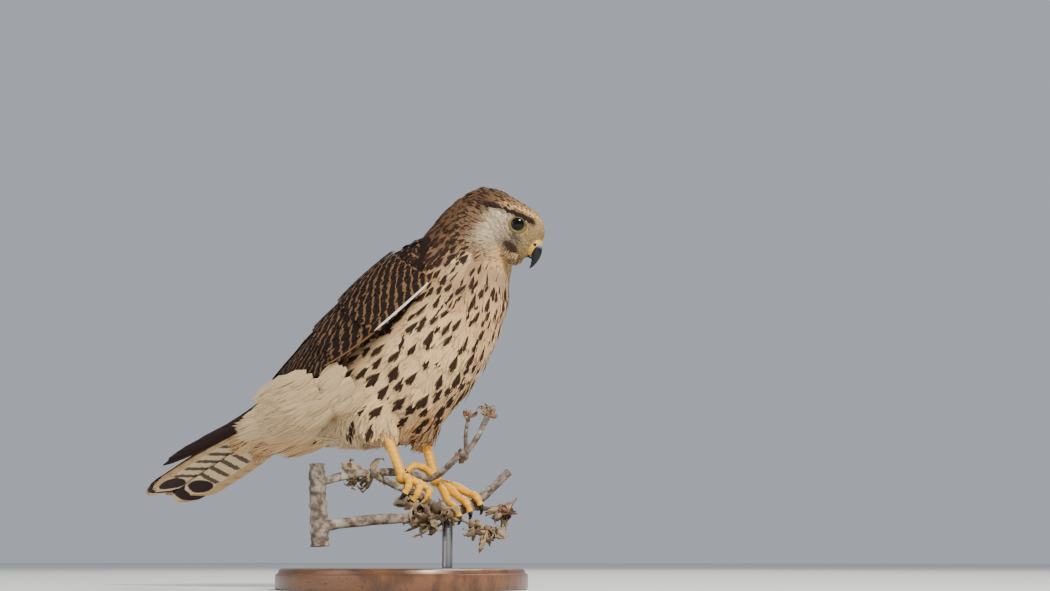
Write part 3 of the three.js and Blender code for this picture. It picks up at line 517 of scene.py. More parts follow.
def coat(p):
    """The look of the small feathers at points of the skin, as a dictionary of arrays."""
    share, angle, ahead, up = body_place(p)
    deg = np.degrees(angle)
    h = to_head(p)
    x, y, z = h[:, 0], np.abs(h[:, 1]), h[:, 2]
    on_head = head_share(h)
    thigh = near_thigh(p)

    # regions
    belly, back = smooth(20, -25, deg), smooth(5, 40, deg)
    front = smooth(0.56, 0.68, share) * smooth(-20, -50, deg)
    low = smooth(0.46, 0.36, share) * belly
    side_neck = smooth(0.64, 0.76, share) * smooth(-75, -30, deg)
    rump = back * smooth(0.34, 0.26, share)
    throat = smooth(0.74, 0.8, share) * smooth(-55, -75, deg)
    chin = near(share, 0.755, 0.035) * smooth(-42, -58, deg)
    bib = near(share, 0.755, 0.025) * near(deg, -28, 10)
    nape = smooth(0.66, 0.76, share) * smooth(-55, -20, deg)
    over = z - (3.0 + 0.37 * (x + 12) - 0.018 * np.maximum(x - 4, 0) ** 2)
    hind = smooth(-2, -11, x) * smooth(1, -1, over)
    cheek = np.exp(-(((x + 0.5) / 6.0) ** 2 + ((z + 4.5) / 6.0) ** 2) ** 1.5)
    cheek = np.maximum(cheek, near(over, -3.4, 1.7) * smooth(-9, -3, x) * smooth(4.5, 1, x))

    # colours
    ground = layered(
        mix(belly, BROWN * 1.5, CREAM),
        (front * 0.8, srgb(192, 156, 116)),
        (low * 0.8, WHITE),
        (0.6 * near(share, 0.47, 0.06) * smooth(-60, -85, deg), BUFF),
        (smooth(0.24, 0.12, share) * 0.8, BUFF),
        (side_neck * 0.8, srgb(94, 70, 51)),
        (back * smooth(0.3, 0.42, share), srgb(92, 66, 46)),
        (rump, srgb(160, 140, 112)),
        (throat * 0.75, srgb(190, 156, 112)),
        # painted shade under the chin: the ground there is made darker and greyer
        (chin * 0.6, srgb(120, 102, 88)),
        (bib, srgb(218, 190, 150)),
        (thigh * 0.8, CREAM),
        (on_head, face_colors(x, y, z, over, hind, cheek)),
    )
    mark = mix(on_head, DARK * 1.25, srgb(46, 32, 24))

    # how many feathers carry a mark, how wide it is, and how far apart the marked ones are
    marked = smooth(0.37, 0.43, share) * smooth(-15, -45, deg - 90 * smooth(0.42, 0.6, share))
    marked = np.maximum(marked, smooth(0.33, 0.38, share) * near(deg, -20, 22))
    marked = np.maximum(marked, nape)
    marked = np.where((share > 0.2) & (deg > 20) & (share < 0.66), 1, marked)
    marked = np.maximum(marked, chin)
    crown_share = np.maximum(smooth(0.5, 2.5, over), hind)
    marked = lerp(marked, np.maximum(crown_share, 0.7), on_head) * (1 - thigh)
    drop = np.where(deg > 10, 0.5, lerp(0.5, 0.26, smooth(0.5, 0.72, share)))
    drop = drop * (1 - 0.9 * throat) * (1 - low * smooth(-40, -60, deg))
    drop = np.maximum(lerp(drop, 0.7, nape), 0.55 * chin) * (1 - 0.8 * bib)
    head_streak = np.maximum(crown_share * 0.5, 0.2 * (1 - cheek)) * smooth(23, 16, x)
    drop = lerp(drop, head_streak, on_head)
    apart = lerp(6.2, 4.2, smooth(0.5, 0.72, share))
    apart = np.where((deg > -75) & (share < 0.62), 7.0, apart)
    apart = lerp(apart, 2.9, np.maximum(nape, chin))
    apart = lerp(apart, lerp(2.2, 1.5, smooth(-8, 15, x)), on_head)

    # sizes
    length = lerp(14, 10.5, smooth(0.55, 0.75, share))
    length = lerp(length, 7.5, smooth(0.74, 0.86, share))
    length = lerp(length, 17, smooth(0.34, 0.2, share))
    length = lerp(length, lerp(8.5, 2.4, smooth(-17, 12, x)), on_head)
    spacing = lerp(3.1, 2.4, smooth(0.55, 0.75, share))
    spacing = lerp(spacing, 1.9, smooth(0.74, 0.86, share))
    spacing = lerp(spacing, lerp(1.0, 0.6, smooth(-8, 18, x)), on_head)
    return dict(
        share=share, deg=deg, ahead=ahead, up=up, head=on_head, h=h, thigh=thigh, ground=ground, mark=mark,
        marked=marked, drop=drop, apart=apart, length=length, spacing=spacing,
    )


# The upper legs: where each one's heel is, and sections up from there, long from front to back.
HEELS = dict(right=vec(1.5, -17, 86), left=vec(2.5, 17, 84))
THIGH = stations(
    "z x long wide",
    (0, 0, 4.2, 4),
    (2.5, -4, 10, 7.5),
    (8, -11, 20, 12.5),
    (18, -14, 28, 16),
    (32, -14, 32, 17.5),
    (48, -12, 26, 14),
)
THIGH_REACH = dict(ahead=26, aside=17)


def near_thigh(p):
    """1 on the feathered upper legs, low on the body, and 0 elsewhere."""
    out = np.zeros(len(p))
    for heel in HEELS.values():
        rel = p - heel
        share = np.clip(rel[:, 2] / THIGH["z"][-1], 0, 1)
        middle = along(THIGH, "x", share ** 0.5)
        away = np.hypot((rel[:, 0] - middle) / THIGH_REACH["ahead"], rel[:, 1] / THIGH_REACH["aside"])
        out = np.maximum(out, smooth(1.15, 0.8, away) * smooth(30, 14, rel[:, 2]))
    return out


def thigh_loft(heel):
    angle, side, rings = all_round(28), np.sign(heel[1]), []
    for share in np.linspace(0, 1, 14):
        x, long, wide, z = (along(THIGH, key, share) for key in ("x", "long", "wide", "z"))
        rings.append(xyz(x + np.cos(angle) * long, side * 1.5 * share + np.sin(angle) * wide, z) + heel)
    return loft(rings)


def body_loft():
    return loft([on_sheet(BODY, np.full(64, share), all_round(64)) for share in np.linspace(0, 1, 90)])


def skull_point(share, angle):
    """Points on the skull in the head's frame, with their places forward on it."""
    x, top, low, side = (along(SKULL, key, share) for key in ("x", "top", "low", "side"))
    return x, xyz(x, np.cos(angle) * side, (top + low) / 2 + np.sin(angle) * (top - low) / 2)


def skull_loft():
    return loft([in_head(skull_point(share, all_round(48))[1]) for share in np.linspace(0, 1, 40)])


def brow_loft(side):
    flip = vec(1, side, 1)
    ends = [in_head(BROW["start"] * flip), in_head(BROW["end"] * flip)]
    bulge = in_head(vec(0, side * BROW["out"], BROW["up"]))
    middle = (ends[0] + ends[1]) / 2 + bulge - in_head(vec(0, 0, 0))
    swell = lambda s, a: BROW["radius"] * (0.35 + 0.65 * math.sin(math.pi * s))
    return loft(tube([ends[0], middle, ends[1]], swell, 12, 12))


def eye_out(side):
    """The direction that an eye looks in, in the head's frame."""
    return unit(vec(math.sin(EYE["out"]), side * math.cos(EYE["out"]), 0.05))


def eye_frame(side):
    """The eye's centre and the direction it looks in."""
    return in_head(EYE["at"] * vec(1, side, 1)), HEAD_TURN @ eye_out(side)


# The edge of the folded wing: shares of SADDLE and the lowest angle that the wing's coverts reach there.
WING_EDGE = dict(share=[0, 0.04, 0.08, 0.16, 0.2, 0.245, 0.3, 0.355, 0.4, 0.46],
                 angle=[25, 4, -7, -15, -12, -8, -4, 0, 6, 15])
WING_TOP = 84


def wing_cover(look):
    """Where points of the skin lie along SADDLE, and how far they belong to the folded wing, from 0 to 1."""
    at = (SADDLE_START - look["share"] * BODY_SPAN) / SADDLE_SPAN
    low = np.interp(at, WING_EDGE["share"], WING_EDGE["angle"])
    inside = np.minimum(look["deg"] - low, WING_TOP - look["deg"])
    inside = np.where((at > 0) & (at < 0.4), inside, -90)
    return at, smooth(-4, 4, inside) * (1 - look["head"])


def wing_core(side):
    """The flesh of the folded wing, from just under the sheet to the body."""
    rings = []
    for share in np.linspace(0, 1, 20):
        at = lerp(0.03, 0.34, share)
        full = math.sin(math.pi * min(1, share * 1.6 + 0.12) * 0.5) * (1 - 0.25 * share ** 3)
        middle, reach = rad(34) + 0.1 * share, rad(42) * full
        p = np.linspace(-1, 1, 19)
        outer = on_sheet(SADDLE, at, middle + reach * p, 0.2 * (1 - p ** 4) * full)
        on_body = (SADDLE_START - at * SADDLE_SPAN) / BODY_SPAN
        inner = on_sheet(BODY, on_body, middle + reach * p[::-1], -2.0)
        rings.append(np.concatenate([outer, inner]) * vec(1, side, 1))
    return loft(rings)


SKIN = dict(voxel=1.4, smoothing=10, sunk=2.2, sunk_head=1.0)


def make_skin():
    """One skin over the body, neck, head, upper legs and wings' flesh, sunk by the depth of the coat.

    Gives its object, the points on the outside of the coat, their normals and the sunken points.
    """
    raw = mesh_object("raw", *merged([
        body_loft(), skull_loft(), brow_loft(1), brow_loft(-1), *map(thigh_loft, HEELS.values()),
        wing_core(1), wing_core(-1),
    ]))
    raw.modifiers.new("join", "REMESH").voxel_size = SKIN["voxel"] * MM
    soft = raw.modifiers.new("soft", "SMOOTH")
    soft.factor, soft.iterations = 0.5, SKIN["smoothing"]
    bpy.context.view_layer.update()
    mesh = bpy.data.meshes.new_from_object(raw.evaluated_get(bpy.context.evaluated_depsgraph_get()))
    bpy.data.objects.remove(raw)
    co, normal = np.empty(len(mesh.vertices) * 3), np.empty(len(mesh.vertices) * 3)
    mesh.vertices.foreach_get("co", co)
    mesh.vertices.foreach_get("normal", normal)
    co, normal = co.reshape(-1, 3) / MM, normal.reshape(-1, 3)
    sunken = co - normal * lerp(SKIN["sunk"], SKIN["sunk_head"], head_share(to_head(co)))[:, None]
    mesh.vertices.foreach_set("co", (sunken * MM).ravel())
    mesh.polygons.foreach_set("use_smooth", np.ones(len(mesh.polygons), bool))
    skin = bpy.data.objects.new("skin", mesh)
    bpy.context.scene.collection.objects.link(skin)
    return skin, co, normal, sunken


def triangles(mesh):
    mesh.calc_loop_triangles()
    tris = np.empty(len(mesh.loop_triangles) * 3, np.int32)
    mesh.loop_triangles.foreach_get("vertices", tris)
    return tris.reshape(-1, 3)


# Scattering of small feathers
def scatter(points, tris, spacing, tries=5.0):
    """Random points on triangles, the local spacing apart, each with its triangle and weights in it."""
    a, b, c = (points[tris[:, k]] for k in range(3))
    area = np.linalg.norm(np.cross(b - a, c - a), axis=1) / 2
    gap = spacing[tris].mean(1)
    weight = np.where(gap > 0, area / np.maximum(gap, 0.1) ** 2, 0)
    count = int(tries * weight.sum())
    chosen = rng.choice(len(tris), count, p=weight / weight.sum())
    u, v = rng.random(count), rng.random(count)
    fold = u + v > 1
    u, v = np.where(fold, 1 - u, u), np.where(fold, 1 - v, v)
    share = xyz(1 - u - v, u, v)
    place = (points[tris[chosen]] * share[..., None]).sum(1)
    kept = thin_out(place, gap[chosen])
    return chosen[kept], share[kept], place[kept]


CELLS_ROUND = [(dx, dy, dz) for dx in (-1, 0, 1) for dy in (-1, 0, 1) for dz in (-1, 0, 1)]


def thin_out(place, gap):
    """Indices of points that keep their gap from every one kept before, done in bands of like gaps."""
    kept = []
    band = np.floor(np.log2(np.maximum(gap, 0.1)) * 2).astype(int)
    for level in np.unique(band):
        index = np.nonzero(band == level)[0]
        keys = np.floor(place[index] / gap[index].max()).astype(int)
        cells = {}
        rows = zip(index.tolist(), place[index].tolist(), gap[index].tolist(), keys.tolist())
        for i, (x, y, z), reach, (kx, ky, kz) in rows:
            others = (q for dx, dy, dz in CELLS_ROUND for q in cells.get((kx + dx, ky + dy, kz + dz), ()))
            if all((x - a) ** 2 + (y - b) ** 2 + (z - c) ** 2 >= reach * reach for a, b, c in others):
                cells.setdefault((kx, ky, kz), []).append((x, y, z))
                kept.append(i)
    return np.array(sorted(kept), int)


# Small feathers
BARB_SHARES = np.array([0, 0.42, 0.8])
BARB_WIDTHS = np.array([0.75, 1.0, 0.7])
SMALL_PATCH, BIG_PATCH = 0.003, 0.02
SIZES = ("length", "half", "thick", "lift", "sag", "cup", "bend")


def bake_place(place):
    """Each root's place on an unwrap of the skin: the body on the left, the head on the right."""
    share, angle, _, _ = body_place(place)
    round_body = np.where(place[:, 1] > 0, angle, math.pi - angle) / math.tau % 1
    h = to_head(place)
    round_head = np.arctan2(h[:, 2], h[:, 1]) / math.tau % 1
    on_head = head_share(h) > 0.5
    u = np.where(on_head, 0.72 + 0.26 * np.clip((h[:, 0] + 30) / 56, 0, 1), 0.02 + 0.66 * share)
    return np.stack([u, 0.02 + 0.95 * np.where(on_head, round_head, round_body)], -1)


def plumes(name, root, ahead, normal, looks, size, barbs, plumage):
    """One piece of frayed feathers, each of a few slender closed barbs that fan out from its root.

    Looks and size hold an array or one value each. Lift, sag and bend are shares of the length, and cup is how
    far a barb sinks for its distance aside.
    """
    n, k = len(root), len(BARB_SHARES)
    looks = {key: np.broadcast_to(looks[key], (n, 3)) for key in ("ground", "mark", "pattern")}
    size = {key: np.broadcast_to(size[key], n) for key in SIZES}
    side = unit(np.cross(ahead, normal))
    spot = (np.arange(barbs) - (barbs - 1) / 2) / barbs * 2
    fan = np.tile(spot, n) + rng.uniform(-0.3, 0.3, n * barbs) / barbs
    each = lambda values: np.repeat(values, barbs, axis=0)
    length = each(size["length"]) * (1 - 0.26 * fan ** 2) * rng.uniform(0.9, 1.04, n * barbs)
    half, side, up, root_of = each(size["half"]), each(side), each(normal), each(root)
    v = np.append(BARB_SHARES, 1.0)
    lift = (each(size["lift"]) + rng.normal(0, 0.012, n * barbs))[:, None]
    rise = lift * v - each(size["sag"])[:, None] * v * v
    bend = each(size["bend"])[:, None] * v * v
    open_ = 0.3 + 0.7 * np.sin(np.minimum(v / 0.55, 1) * math.pi / 2)
    aside = (half * fan)[:, None] * open_ + length[:, None] * bend
    sunk = each(size["cup"])[:, None] * np.abs((half * fan)[:, None] * open_)
    spine = (root_of[:, None] + each(ahead)[:, None] * (length[:, None] * v)[..., None]
             + up[:, None] * (length[:, None] * rise - sunk)[..., None] + side[:, None] * aside[..., None])
    width = (half * 1.35 / barbs)[:, None] * BARB_WIDTHS
    thick = each(size["thick"])[:, None, None]
    out, high = side[:, None] * width[..., None], up[:, None]
    body = spine[:, :k]
    rings = np.stack([body - out, body + high * thick, body + out], 2)
    m = 3 * k + 1
    points = np.concatenate([rings.reshape(-1, 3 * k, 3), spine[:, k:]], 1)
    last = 3 * (k - 1)
    tip = np.array([[last + j, last + (j + 1) % 3, 3 * k] for j in range(3)])
    quads = ring_faces(k, 3, closed=False)
    template = np.concatenate([quads, tip, [[0, 2, 1]]])
    under = np.concatenate([np.tile([0, 0, 1], len(quads) // 3), [0, 0, 1, 1]])
    tris = (template[None] + m * np.arange(n * barbs)[:, None, None]).reshape(-1, 3)
    made = mesh_object(name, points.reshape(-1, 3), tris, None)

    # shading that follows the coat as a whole, rounded a little over each barb and each feather
    role = np.where(template == 3 * k, 1, template % 3) - 1
    facing = np.where(under, -1.0, 1.0)[:, None] * np.ones((1, 3))
    lean = up + side * (0.35 * fan)[:, None] - each(ahead) * 0.12
    soft = lean[:, None, None] * facing[None, ..., None] + side[:, None, None] * (0.5 * role)[None, ..., None]
    made.data.normals_split_custom_set(unit(soft).reshape(-1, 3))

    spread = 0.5 + 0.5 * (fan[:, None] * open_[:k])[..., None] + (0.6 / barbs) * np.array([-1, 0, 1])
    u = np.concatenate([spread.reshape(-1, 3 * k), 0.5 + 0.5 * fan[:, None]], 1)
    down = np.broadcast_to(np.append(np.repeat(BARB_SHARES, 3), 1.0), u.shape)
    local = np.stack([np.clip(u, 0, 1), down], -1)
    set_uv(made, "Vane", local.reshape(-1, 2))
    set_uv(made, "OFBake", (each(bake_place(root))[:, None] + SMALL_PATCH * (local - 0.5)).reshape(-1, 2))
    ground = np.concatenate([looks["ground"], rng.random((n, 1))], 1)
    for key, values, kind in (("Ground", ground, "FLOAT_COLOR"), ("Mark", looks["mark"], "FLOAT_COLOR"),
                              ("Pattern", looks["pattern"], "FLOAT_VECTOR")):
        set_attribute(made, key, np.repeat(each(values), m, axis=0), kind)
    return finish_piece(made, "plumage_pale", material=plumage)


def covered(h):
    """Where the head carries no small feathers: at the eyes and under the bill."""
    out = eye_out(1)
    rel = xyz(h[:, 0], np.abs(h[:, 1]), h[:, 2]) - EYE["at"]
    ahead = rel @ out
    off_axis = np.linalg.norm(rel - ahead[:, None] * out, axis=1)
    eye = (ahead > 0) & (off_axis < EYE["lid"] + 0.5) & (np.abs(h[:, 0]) < 30)
    return eye | (h[:, 0] > 19.8) & (np.abs(h[:, 2] - 0.6) < 5.4) & (np.abs(h[:, 1]) < 5)


def flow(look, co, normal):
    """The lie of the coat: back from the bill over the head, along the body, and down the thighs."""
    from_bill = unit(look["h"] - vec(21, 0, 1)) @ HEAD_TURN.T
    way = unit(mix(look["head"], -look["ahead"], from_bill))
    heel = np.where(co[:, 1:2] > 0, HEELS["left"], HEELS["right"])
    way = mix(look["thigh"] * 0.75, way, unit(heel - vec(0, 0, 6) - co))
    way = way + look["wing"][:, None] * look["up"] * 0.16
    return across_only(way, normal)


def across_only(way, normal):
    """The part of a direction that runs across a normal, as a unit vector."""
    return unit(way - normal * (way * normal).sum(-1, keepdims=True))


def at_places(tris, chosen, share, values):
    """Values of the skin's points, at places in its triangles."""
    picked = values[tris[chosen]]
    return (picked * share.reshape(share.shape + (1,) * (picked.ndim - 2))).sum(1)


BARB_LIMIT = 12000  # barbs in one piece, of 16 triangles each


def make_coat(skin, co, normal, sunken, look, plumage):
    """The small feathers of the whole skin, in pieces by region, and their fluff."""
    tris = triangles(skin.data)
    look["spacing"] = lerp(look["spacing"], 3.6, look["wing"])
    look["spacing"] = np.where(covered(look["h"]), 0, look["spacing"])
    way = flow(look, co, normal)
    chosen, share, place = scatter(sunken, tris, look["spacing"])
    here = {key: at_places(tris, chosen, share, value) for key, value in look.items()}
    ahead = at_places(tris, chosen, share, way)
    up = unit(at_places(tris, chosen, share, normal))
    ahead = across_only(ahead, up)
    n = len(place)

    # each marked feather lies on top of its neighbours
    wants = rng.random(n) < here["marked"]
    order = rng.permutation(np.nonzero(wants & (here["wing"] < 0.5))[0])
    marked = np.zeros(n, bool)
    marked[order[thin_out(place[order], here["apart"][order])]] = True
    wing = here["wing"] > 0.5
    streak = np.where(marked, here["drop"], 0.0) * rng.uniform(0.75, 1.2, n)
    bars = np.where(wing, rng.uniform(1.5, 2.3, n), 0.0)
    tone = rng.normal(1, 0.07, (n, 1))
    mark = np.where(wing[:, None], srgb(114, 86, 60), here["mark"]) * tone
    bar_share = np.where(wing, rng.uniform(0.4, 0.6, n), 0.5)
    turned = rng.normal(0, 0.13, n) * (1 + 0.6 * here["thigh"])
    ahead = unit(ahead * np.cos(turned)[:, None] + np.cross(ahead, up) * np.sin(turned)[:, None])
    middle = coat(place + ahead * (0.5 * here["length"])[:, None])
    ground = np.where(wing[:, None], srgb(36, 25, 20), middle["ground"]) * tone
    length = here["length"] * rng.uniform(0.85, 1.15, n) * np.where(marked, lerp(1.25, 1.1, here["head"]), 1)
    wing_length = rng.uniform(13, 16, n) * lerp(0.55, 1.1, smooth(0.03, 0.25, here["wing_at"]))
    length = np.where(wing, wing_length, length)
    hind_head = smooth(15, 6, np.hypot(here["h"][:, 0] + 26, here["h"][:, 2] - 1))
    lift = lerp(0.11, 0.13, here["head"]) + rng.normal(0, 0.02, n)
    size = dict(
        length=length, half=length * lerp(0.34, 0.3, here["head"]), thick=lerp(0.16, 0.1, here["head"]),
        lift=lift + 0.04 * here["thigh"] - 0.05 * here["wing"],
        sag=0.06 + 0.05 * here["head"] + 0.3 * hind_head + 0.08 * here["wing"],
    )
    raised = np.where(marked, lerp(0.45, 0.15, here["head"]), 0.0) + rng.uniform(-0.1, 0.1, n)
    looks = dict(ground=ground, mark=mark, pattern=xyz(streak, bars, bar_share))
    groups = dict(
        coat_head=here["head"] > 0.5,
        coat_wing_left=wing & (place[:, 1] > 0),
        coat_wing_right=wing & (place[:, 1] <= 0),
        coat_neck=here["share"] > 0.66,
        coat_breast=here["share"] > 0.5,
        coat_belly=here["share"] > 0.34,
        coat_rump=here["share"] > -1,
    )
    left = np.ones(n, bool)
    for name, member in groups.items():
        index = np.nonzero(member & left)[0]
        left &= ~member
        barbs = 3 if name == "coat_head" else 5
        for part, some in enumerate(np.array_split(index, -(-len(index) // (BARB_LIMIT // barbs)))):
            pick = lambda arrays, **single: {**{key: value[some] for key, value in arrays.items()}, **single}
            root = place[some] + up[some] * raised[some, None]
            sizes = pick(size, cup=0.16, bend=0.0)
            plumes(f"{name}_{part + 1}", root, ahead[some], up[some], pick(looks), sizes, barbs, plumage)
    make_fluff(here, place, ahead, up, ground, plumage)


def make_fluff(here, place, ahead, up, ground, plumage):
    """Loose single barbs on the belly, the thighs and under the tail."""
    soft = np.maximum(here["thigh"], smooth(0.46, 0.36, here["share"]) * smooth(20, -20, here["deg"]))
    some = np.nonzero((rng.random(len(place)) < soft) & (here["wing"] < 0.5))[0]
    some = np.tile(some, 3)[:BARB_LIMIT]
    n = len(some)
    across = np.cross(ahead[some], up[some])
    way = unit(ahead[some] + across * rng.normal(0, 0.25, (n, 1)) + up[some] * rng.uniform(0.0, 0.2, (n, 1)))
    root = place[some] + across * rng.uniform(-1.5, 1.5, (n, 1)) + up[some] * rng.uniform(0, 0.8, (n, 1))
    size = dict(
        length=rng.uniform(7, 15, n), half=rng.uniform(0.2, 0.4, n), thick=0.12, cup=0,
        lift=rng.uniform(0.08, 0.2, n), sag=rng.uniform(0.06, 0.2, n), bend=rng.normal(0, 0.12, n),
    )
    looks = dict(ground=ground[some] * 1.05, mark=ground[some], pattern=0)
    plumes("coat_fluff", root, way, up[some], looks, size, 1, plumage)


def make_beard(plumage, count=1400):
    """Hair-like barbs that hang from the chin over the throat."""
    share, angle = rng.uniform(0.46, 0.8, count), DEGREE * rng.uniform(-126, -54, count)
    x, point = skull_point(share, angle)
    out = unit(xyz(0, np.cos(angle), np.sin(angle))) @ HEAD_TURN.T
    way = unit(vec(-0.62, 0, -0.7) + out * 0.3 + rng.normal(0, 0.1, (count, 3)))
    hang = 1.5 + lerp(8.5, 3.5, smooth(2, 16, x)) * np.abs(np.sin(angle)) ** 2
    size = dict(length=hang * rng.uniform(0.7, 1.1, count), half=rng.uniform(0.15, 0.28, count),
                thick=0.1, lift=rng.uniform(0.0, 0.1, count), sag=rng.uniform(0.0, 0.12, count), cup=0,
                bend=rng.normal(0, 0.08, count))
    ground = srgb(158, 132, 98) * rng.choice([0.5, 0.8, 1.0, 1.15], count)[:, None]
    looks = dict(ground=ground, mark=DARK, pattern=0)
    plumes("coat_beard", in_head(point) - out * 0.6, way, across_only(out, way), looks, size, 1, plumage)


def sheet_rows(table, side, count, share, angle, outside, length, ground, slim=0.15, streak=0.0, turn=0.0,
               lift=0.06):
    """Long soft feathers rooted on the sheet of a table, that lie along it towards the tail."""
    s = rng.uniform(*share, count)
    a = DEGREE * rng.triangular(angle[0], lerp(*angle, 0.3), angle[1], count)
    out = rng.uniform(*outside, count)
    base = on_sheet(table, s, a, out)
    back = 0.01 if table is SADDLE else -0.01
    ahead = unit(on_sheet(table, s + back, a, out) - base)
    around = unit(on_sheet(table, s, a + 0.02, out) - base)
    up = np.cross(ahead, around)
    up = unit(up * np.sign(((base - axis_point(table, s)) * up).sum(-1, keepdims=True)))
    ahead = unit(ahead + around * (turn + rng.normal(0, 0.06, (count, 1))))
    if table is BODY:
        ahead = unit(ahead * 0.35 + vec(-math.cos(TAIL["droop"]), 0, -math.sin(TAIL["droop"])))
    flip = vec(1, side, 1)
    long = rng.uniform(*length, count)
    ground = ground * rng.normal(1, 0.06, (count, 1))
    return dict(
        root=base * flip, ahead=ahead * flip, normal=up * flip, ground=ground,
        pattern=xyz(np.full(count, streak), 0, 0.5), length=long, half=long * slim,
        lift=lift + rng.normal(0, 0.02, count), bend=rng.normal(0, 0.04, count),
    )


def long_plumes(name, sets, plumage):
    """One piece from sets of long soft feathers."""
    rows = {key: np.concatenate([each[key] for each in sets]) for key in sets[0]}
    looks, size = dict(rows, mark=DARK * 1.3), dict(rows, thick=0.14, sag=0.05, cup=0.12)
    plumes(name, rows["root"], rows["ahead"], rows["normal"], looks, size, 7, plumage)


# Pale flank feathers that cover the folded wing's flight feathers: shares of SADDLE, and angles there.
FLANK = [
    dict(count=34, share=(0.36, 0.43), angle=(-34, 2), outside=(0.2, 1.4), length=(15, 22), slim=0.2),
    dict(count=70, share=(0.43, 0.5), angle=(-34, 11), outside=(0.4, 2.0), length=(20, 32), slim=0.17),
    dict(count=64, share=(0.5, 0.58), angle=(-34, 24), outside=(0.4, 2.0), length=(22, 36), slim=0.17),
    dict(count=44, share=(0.58, 0.66), angle=(-38, 16), outside=(-0.8, 1.2), length=(22, 34), slim=0.17),
]
# Feathers over the root of the tail: shares of BODY, and angles there.
TAIL_ROOT = dict(share=(0.1, 0.26), lift=0.02)
TAIL_COVERTS = [
    dict(TAIL_ROOT, count=60, angle=(-88, -8), outside=(-2.5, -0.5), length=(26, 42), streak=0.07),
    dict(TAIL_ROOT, count=40, angle=(-8, 40), outside=(-2.5, -0.5), length=(22, 34), streak=0.06),
]
RUMP = dict(TAIL_ROOT, count=46, angle=(38, 88), outside=(-2.0, 0.0), length=(22, 34), streak=0.16)


def make_long_plumes(plumage):
    # the flanks' own cream-white, darkened by 0.88 as painted shade
    pale = mix(0.3, CREAM, WHITE) * 0.88
    for side, name in SIDES:
        flank = [sheet_rows(SADDLE, side, ground=pale, turn=0.05, **row) for row in FLANK]
        long_plumes(f"coat_flank_{name}", flank, plumage)
    buff = mix(0.3, CREAM, BUFF)
    coverts = [sheet_rows(BODY, side, ground=buff, **row) for side, _ in SIDES for row in TAIL_COVERTS]
    coverts += [sheet_rows(BODY, side, ground=srgb(150, 120, 88), **RUMP) for side, _ in SIDES]
    long_plumes("coat_tail_coverts", coverts, plumage)


# Flight and tail feathers: shares along each, and places across it with its shaft in the middle
BIG_SHARES = np.array([0, 0.08, 0.18, 0.3, 0.42, 0.54, 0.66, 0.76, 0.85, 0.92, 0.97, 1])
BIG_PLACES = np.array([-1, -0.72, -0.4, -0.09, 0, 0.09, 0.4, 0.72, 1])


def tip_width(s, round_from=0.8, first=0.7):
    """Half width of a large feather along its length, from its root to its rounded tip."""
    body = first + (1 - first) * np.sin(np.clip(s / 0.45, 0, 1) * math.pi / 2)
    t = np.clip((s - round_from) / (1 - round_from), 0, 1)
    return body * np.sqrt(np.maximum(1 - t ** 2.2, 0.01))


def big_vane(point_at, thick=0.55):
    """Points, triangles and vane places of one closed feather, with its shaft raised on both faces."""
    s, p = grid(BIG_SHARES, BIG_PLACES)
    shaft = np.where(np.abs(p) < 0.05, 0.2, 0) * (1 - s) + 0.05 * (np.abs(p) < 0.05)
    above = thick * (0.5 - 0.32 * p * p) + shaft
    top, low = point_at(s, p, above), point_at(s, p, -above)
    points, faces = loft(np.concatenate([top, low[:, ::-1]], 1))
    place = np.stack([(p + 1) / 2, s], -1)
    uv = np.concatenate([np.concatenate([place, place[:, ::-1]], 1).reshape(-1, 2), [[0.5, 0], [0.5, 1]]])
    return points, faces, uv


def feather_piece(name, feathers, material, slot, node):
    """One piece from feathers, each with its vane, its colours and pattern, and its patch of the unwrap."""
    made = mesh_object(name, *merged([feather["vane"][:2] for feather in feathers]), 50)
    counts = [len(feather["vane"][0]) for feather in feathers]
    spread = lambda values: np.repeat(np.array(values), counts, axis=0)
    ground, mark, pattern, patch = (
        spread([feather[key] for feather in feathers]) for key in ("ground", "mark", "pattern", "patch"))
    uv = np.concatenate([feather["vane"][2] for feather in feathers])
    set_uv(made, "Vane", uv)
    set_uv(made, "OFBake", patch + BIG_PATCH * (uv - 0.5))
    seed = spread(rng.random(len(feathers)))[:, None]
    set_attribute(made, "Ground", np.concatenate([ground, seed], 1), "FLOAT_COLOR")
    set_attribute(made, "Mark", mark, "FLOAT_COLOR")
    set_attribute(made, "Pattern", pattern)
    finish_piece(made, slot, node, material=material)


WING_DARK, WING_BAR = srgb(34, 24, 20), srgb(112, 84, 60)
PLAIN_DARK = dict(ground=srgb(40, 27, 25), mark=srgb(84, 62, 48), pattern=vec(0, 9, 0.2))
BARRED = dict(ground=WING_DARK, mark=WING_BAR, pattern=vec(0, 12.5, 0.62))
COVERT = dict(ground=WING_DARK, mark=WING_BAR, pattern=vec(0, 7.5, 0.7))
PALE_EDGE = dict(ground=srgb(230, 220, 200), mark=WING_BAR, pattern=vec(0, 0, 0))
BUFF_EDGE = dict(ground=srgb(128, 94, 58), mark=WING_DARK, pattern=vec(0, 0, 0))
